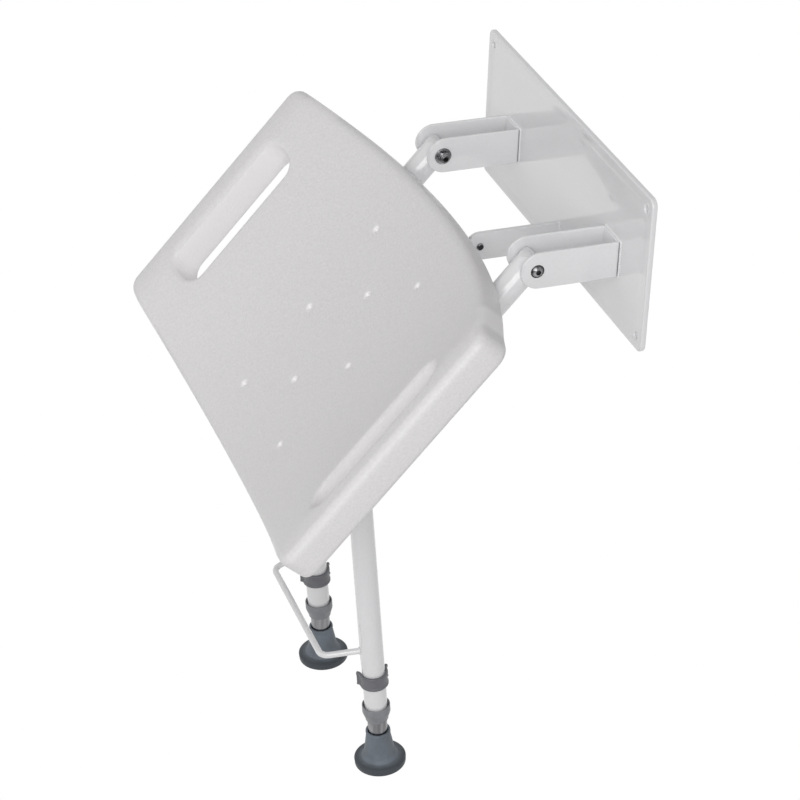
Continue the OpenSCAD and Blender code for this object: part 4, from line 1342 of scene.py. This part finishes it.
class Fasteners(bpy.types.Operator):
    """Make the bolts, nuts, washers and board screws"""

    bl_idname = "wall_seat.fasteners"
    bl_label = "Fasteners"

    def execute(self, context):
        fittings = context.scene.wall_seat_fittings
        steel = look_for(STEEL)
        out = Vector((1, 0, 0))

        low, high = local_box("pivot_washers", side=1)
        washer = washer_mesh(fittings, (high.z - low.z) / 2, high.x - low.x)
        spots = [(SEAT_PIVOT + out * s * high.x, -out * s) for s in (-1, 1)]
        piece("washers", copies("washers", washer, spots, steel), steel, "wall", STEEL, "pivot_washers")

        for label, nodes, place, body, carrier in (
                ("pivot", ("pivot_bolts", "pivot_nuts"), SEAT_PIVOT, "wall", "right_clevis"),
                ("knee", ("leg_pivot_bolts", "leg_pivot_nuts"), LEG_PIVOT, "seat", "right_seat_tube")):
            low, high = local_box(nodes[0], side=1)
            seat_x = local_box(carrier)[1].x
            bolt = bolt_mesh(fittings, (high.z - low.z) / 2, high.x - seat_x, seat_x - low.x,
                             fittings.pivot_thread)
            spots = [(place + out * s * seat_x, out * s) for s in (-1, 1)]
            piece(label + "_bolt_set", copies(label, bolt, spots, steel), steel, body, STEEL, nodes[0])
            low, high = local_box(nodes[1], side=1)
            nut = nut_mesh(fittings, high.x - low.x)
            spots = [(place + out * s * high.x, -out * s) for s in (-1, 1)]
            piece(label + "_nut_set", copies(label, nut, spots, steel), steel, body, STEEL, nodes[1])

        link_x = local_box("link_bar")[0].x
        for label, name, body, seat_x in (("link_pin", "link_bolt", "wall", link_x),
                                          ("lug_pin", "lug_bolt", "legs", link_x - FIT)):
            low, high = local_box(name)
            middle = (low + high) / 2
            bolt = bolt_mesh(fittings, (high.z - low.z) / 2, seat_x - low.x, high.x - seat_x,
                             fittings.link_thread)
            spots = [((seat_x, middle.y, middle.z), -out)]
            piece(label, copies(label, bolt, spots, steel), steel, body, STEEL, name)

        low, high = local_box("board_screws", SEAT, 1)
        radius = (high.x - low.x) / 2
        seat_z = local_box("right_seat_tube", SEAT)[0].z
        screw = bolt_mesh(fittings, radius, seat_z - low.z, high.z - seat_z, fittings.screw_thread)
        up = SEAT.to_3x3() @ Vector((0, 0, 1))
        spots = [(SEAT @ Vector((s * (low.x + high.x) / 2, y, seat_z)), -up)
                 for s in (-1, 1) for y in (low.y + radius, high.y - radius)]
        piece("board_screw_set", copies("screws", screw, spots, steel), steel, "seat", STEEL, "board_screws")
        return {"FINISHED"}


class Stage(bpy.types.Operator):
    """Make the floor, the lamps and the camera"""

    bl_idname = "wall_seat.stage"
    bl_label = "Stage"

    def execute(self, context):
        settings = context.scene.wall_seat_stage
        low, high = (Vector(corner) for corner in CAD_BOX)
        middle = (low + high) / 2
        self.floor(context, settings, low.z - settings.floor_drop)
        self.world(context, settings.surround)
        view = Matrix.Rotation(settings.azimuth, 3, "Z") @ Vector(
            (0, -math.cos(settings.elevation), math.sin(settings.elevation)))
        self.camera(context, settings, view)
        for name, place, power in (("Key light", settings.key_place, settings.key_light),
                                   ("Fill light", settings.fill_place, settings.fill_light)):
            self.lamp(context, name, middle + Vector(place), middle, settings.lamp_size, power)
        context.scene.view_settings.view_transform = "Standard"
        return {"FINISHED"}

    def seen_directly(self, tree):
        """A factor that is 1 where the camera or a gloss looks, for a background that is white to both."""
        rays = node(tree, "ShaderNodeLightPath")
        sources = {0: rays.outputs["Is Camera Ray"], 1: rays.outputs["Is Glossy Ray"]}
        return node(tree, "ShaderNodeMath", sources, operation="ADD", use_clamp=True).outputs[0]

    def floor(self, context, settings, height):
        """A wide white floor that the camera sees as white."""
        size = settings.floor_size
        corners = [(x * size, y * size, height) for x, y in ((-1, -1), (1, -1), (1, 1), (-1, 1))]
        mesh = bpy.data.meshes.new("floor")
        mesh.from_pydata(corners, [], [(0, 1, 2, 3)])
        look = bpy.data.materials.new("Floor")
        look.use_nodes = True
        tree = look.node_tree
        shader = tree.nodes["Principled BSDF"]
        shader.inputs["Base Color"].default_value = (*settings.floor_colour, 1)
        shader.inputs["Roughness"].default_value = 0.9
        white = node(tree, "ShaderNodeEmission", {"Color": (1, 1, 1, 1), "Strength": 1.0})
        mixed = node(tree, "ShaderNodeMixShader", {
            0: self.seen_directly(tree), 1: shader.outputs[0], 2: white.outputs[0]})
        tree.links.new(mixed.outputs[0], tree.nodes["Material Output"].inputs[0])
        mesh.materials.append(look)
        floor = bpy.data.objects.new("floor", mesh)
        context.scene.collection.objects.link(floor)

    def world(self, context, strength):
        """Light from all round, white where the camera or a gloss sees it."""
        world = bpy.data.worlds.new("Surround")
        world.use_nodes = True
        context.scene.world = world
        tree = world.node_tree
        light = tree.nodes["Background"]
        light.inputs["Color"].default_value = (1, 1, 1, 1)
        level = node(tree, "ShaderNodeMapRange", {
            "Value": self.seen_directly(tree), "To Min": strength, "To Max": 1.0})
        tree.links.new(level.outputs[0], light.inputs["Strength"])

    def camera(self, context, settings, view):
        """The camera at the photograph's view."""
        lens = bpy.data.cameras.new("Camera")
        lens.sensor_width = 36
        lens.lens = settings.focal_length
        lens.shift_x, lens.shift_y = settings.shift
        camera = bpy.data.objects.new("Camera", lens)
        context.scene.collection.objects.link(camera)
        turn = (-view).to_track_quat("-Z", "Y").to_matrix() @ Matrix.Rotation(settings.roll, 3, "Z")
        camera.matrix_world = Matrix.Translation(settings.camera_place) @ turn.to_4x4()
        context.scene.camera = camera

    def lamp(self, context, name, place, target, size, power):
        """A square lamp that faces a target."""
        light = bpy.data.lights.new(name, "AREA")
        light.size = size
        light.energy = power
        lamp = bpy.data.objects.new(name, light)
        context.scene.collection.objects.link(lamp)
        turn = (target - place).to_track_quat("-Z", "Y").to_matrix().to_4x4()
        lamp.matrix_world = Matrix.Translation(place) @ turn


OPERATORS = (WallPlate, Clevises, Link, Board, SeatFrame, Legs, Collars, Clips, Feet, Fasteners, Stage)


class WallSeatPanel(bpy.types.Panel):
    """The seat's pieces and settings in the sidebar"""

    bl_idname = "VIEW3D_PT_wall_seat"
    bl_label = "Wall seat"
    bl_space_type = "VIEW_3D"
    bl_region_type = "UI"
    bl_category = "Wall seat"

    def draw(self, context):
        for operator in OPERATORS:
            self.layout.operator(operator.bl_idname)
        for name, group in SETTINGS.items():
            settings = getattr(context.scene, name)
            box = self.layout.box()
            for key in group.__annotations__:
                box.prop(settings, key)


def register():
    for group in (*SETTINGS.values(), *OPERATORS, WallSeatPanel):
        bpy.utils.register_class(group)
    for name, group in SETTINGS.items():
        setattr(bpy.types.Scene, name, PointerProperty(type=group))


def unregister():
    for name in SETTINGS:
        delattr(bpy.types.Scene, name)
    for group in (WallSeatPanel, *reversed(OPERATORS), *SETTINGS.values()):
        bpy.utils.unregister_class(group)


def main():
    """Makes every piece."""
    register()
    for operator in OPERATORS:
        group, name = operator.bl_idname.split(".")
        getattr(getattr(bpy.ops, group), name)()


if __name__ == "__main__":
    main()
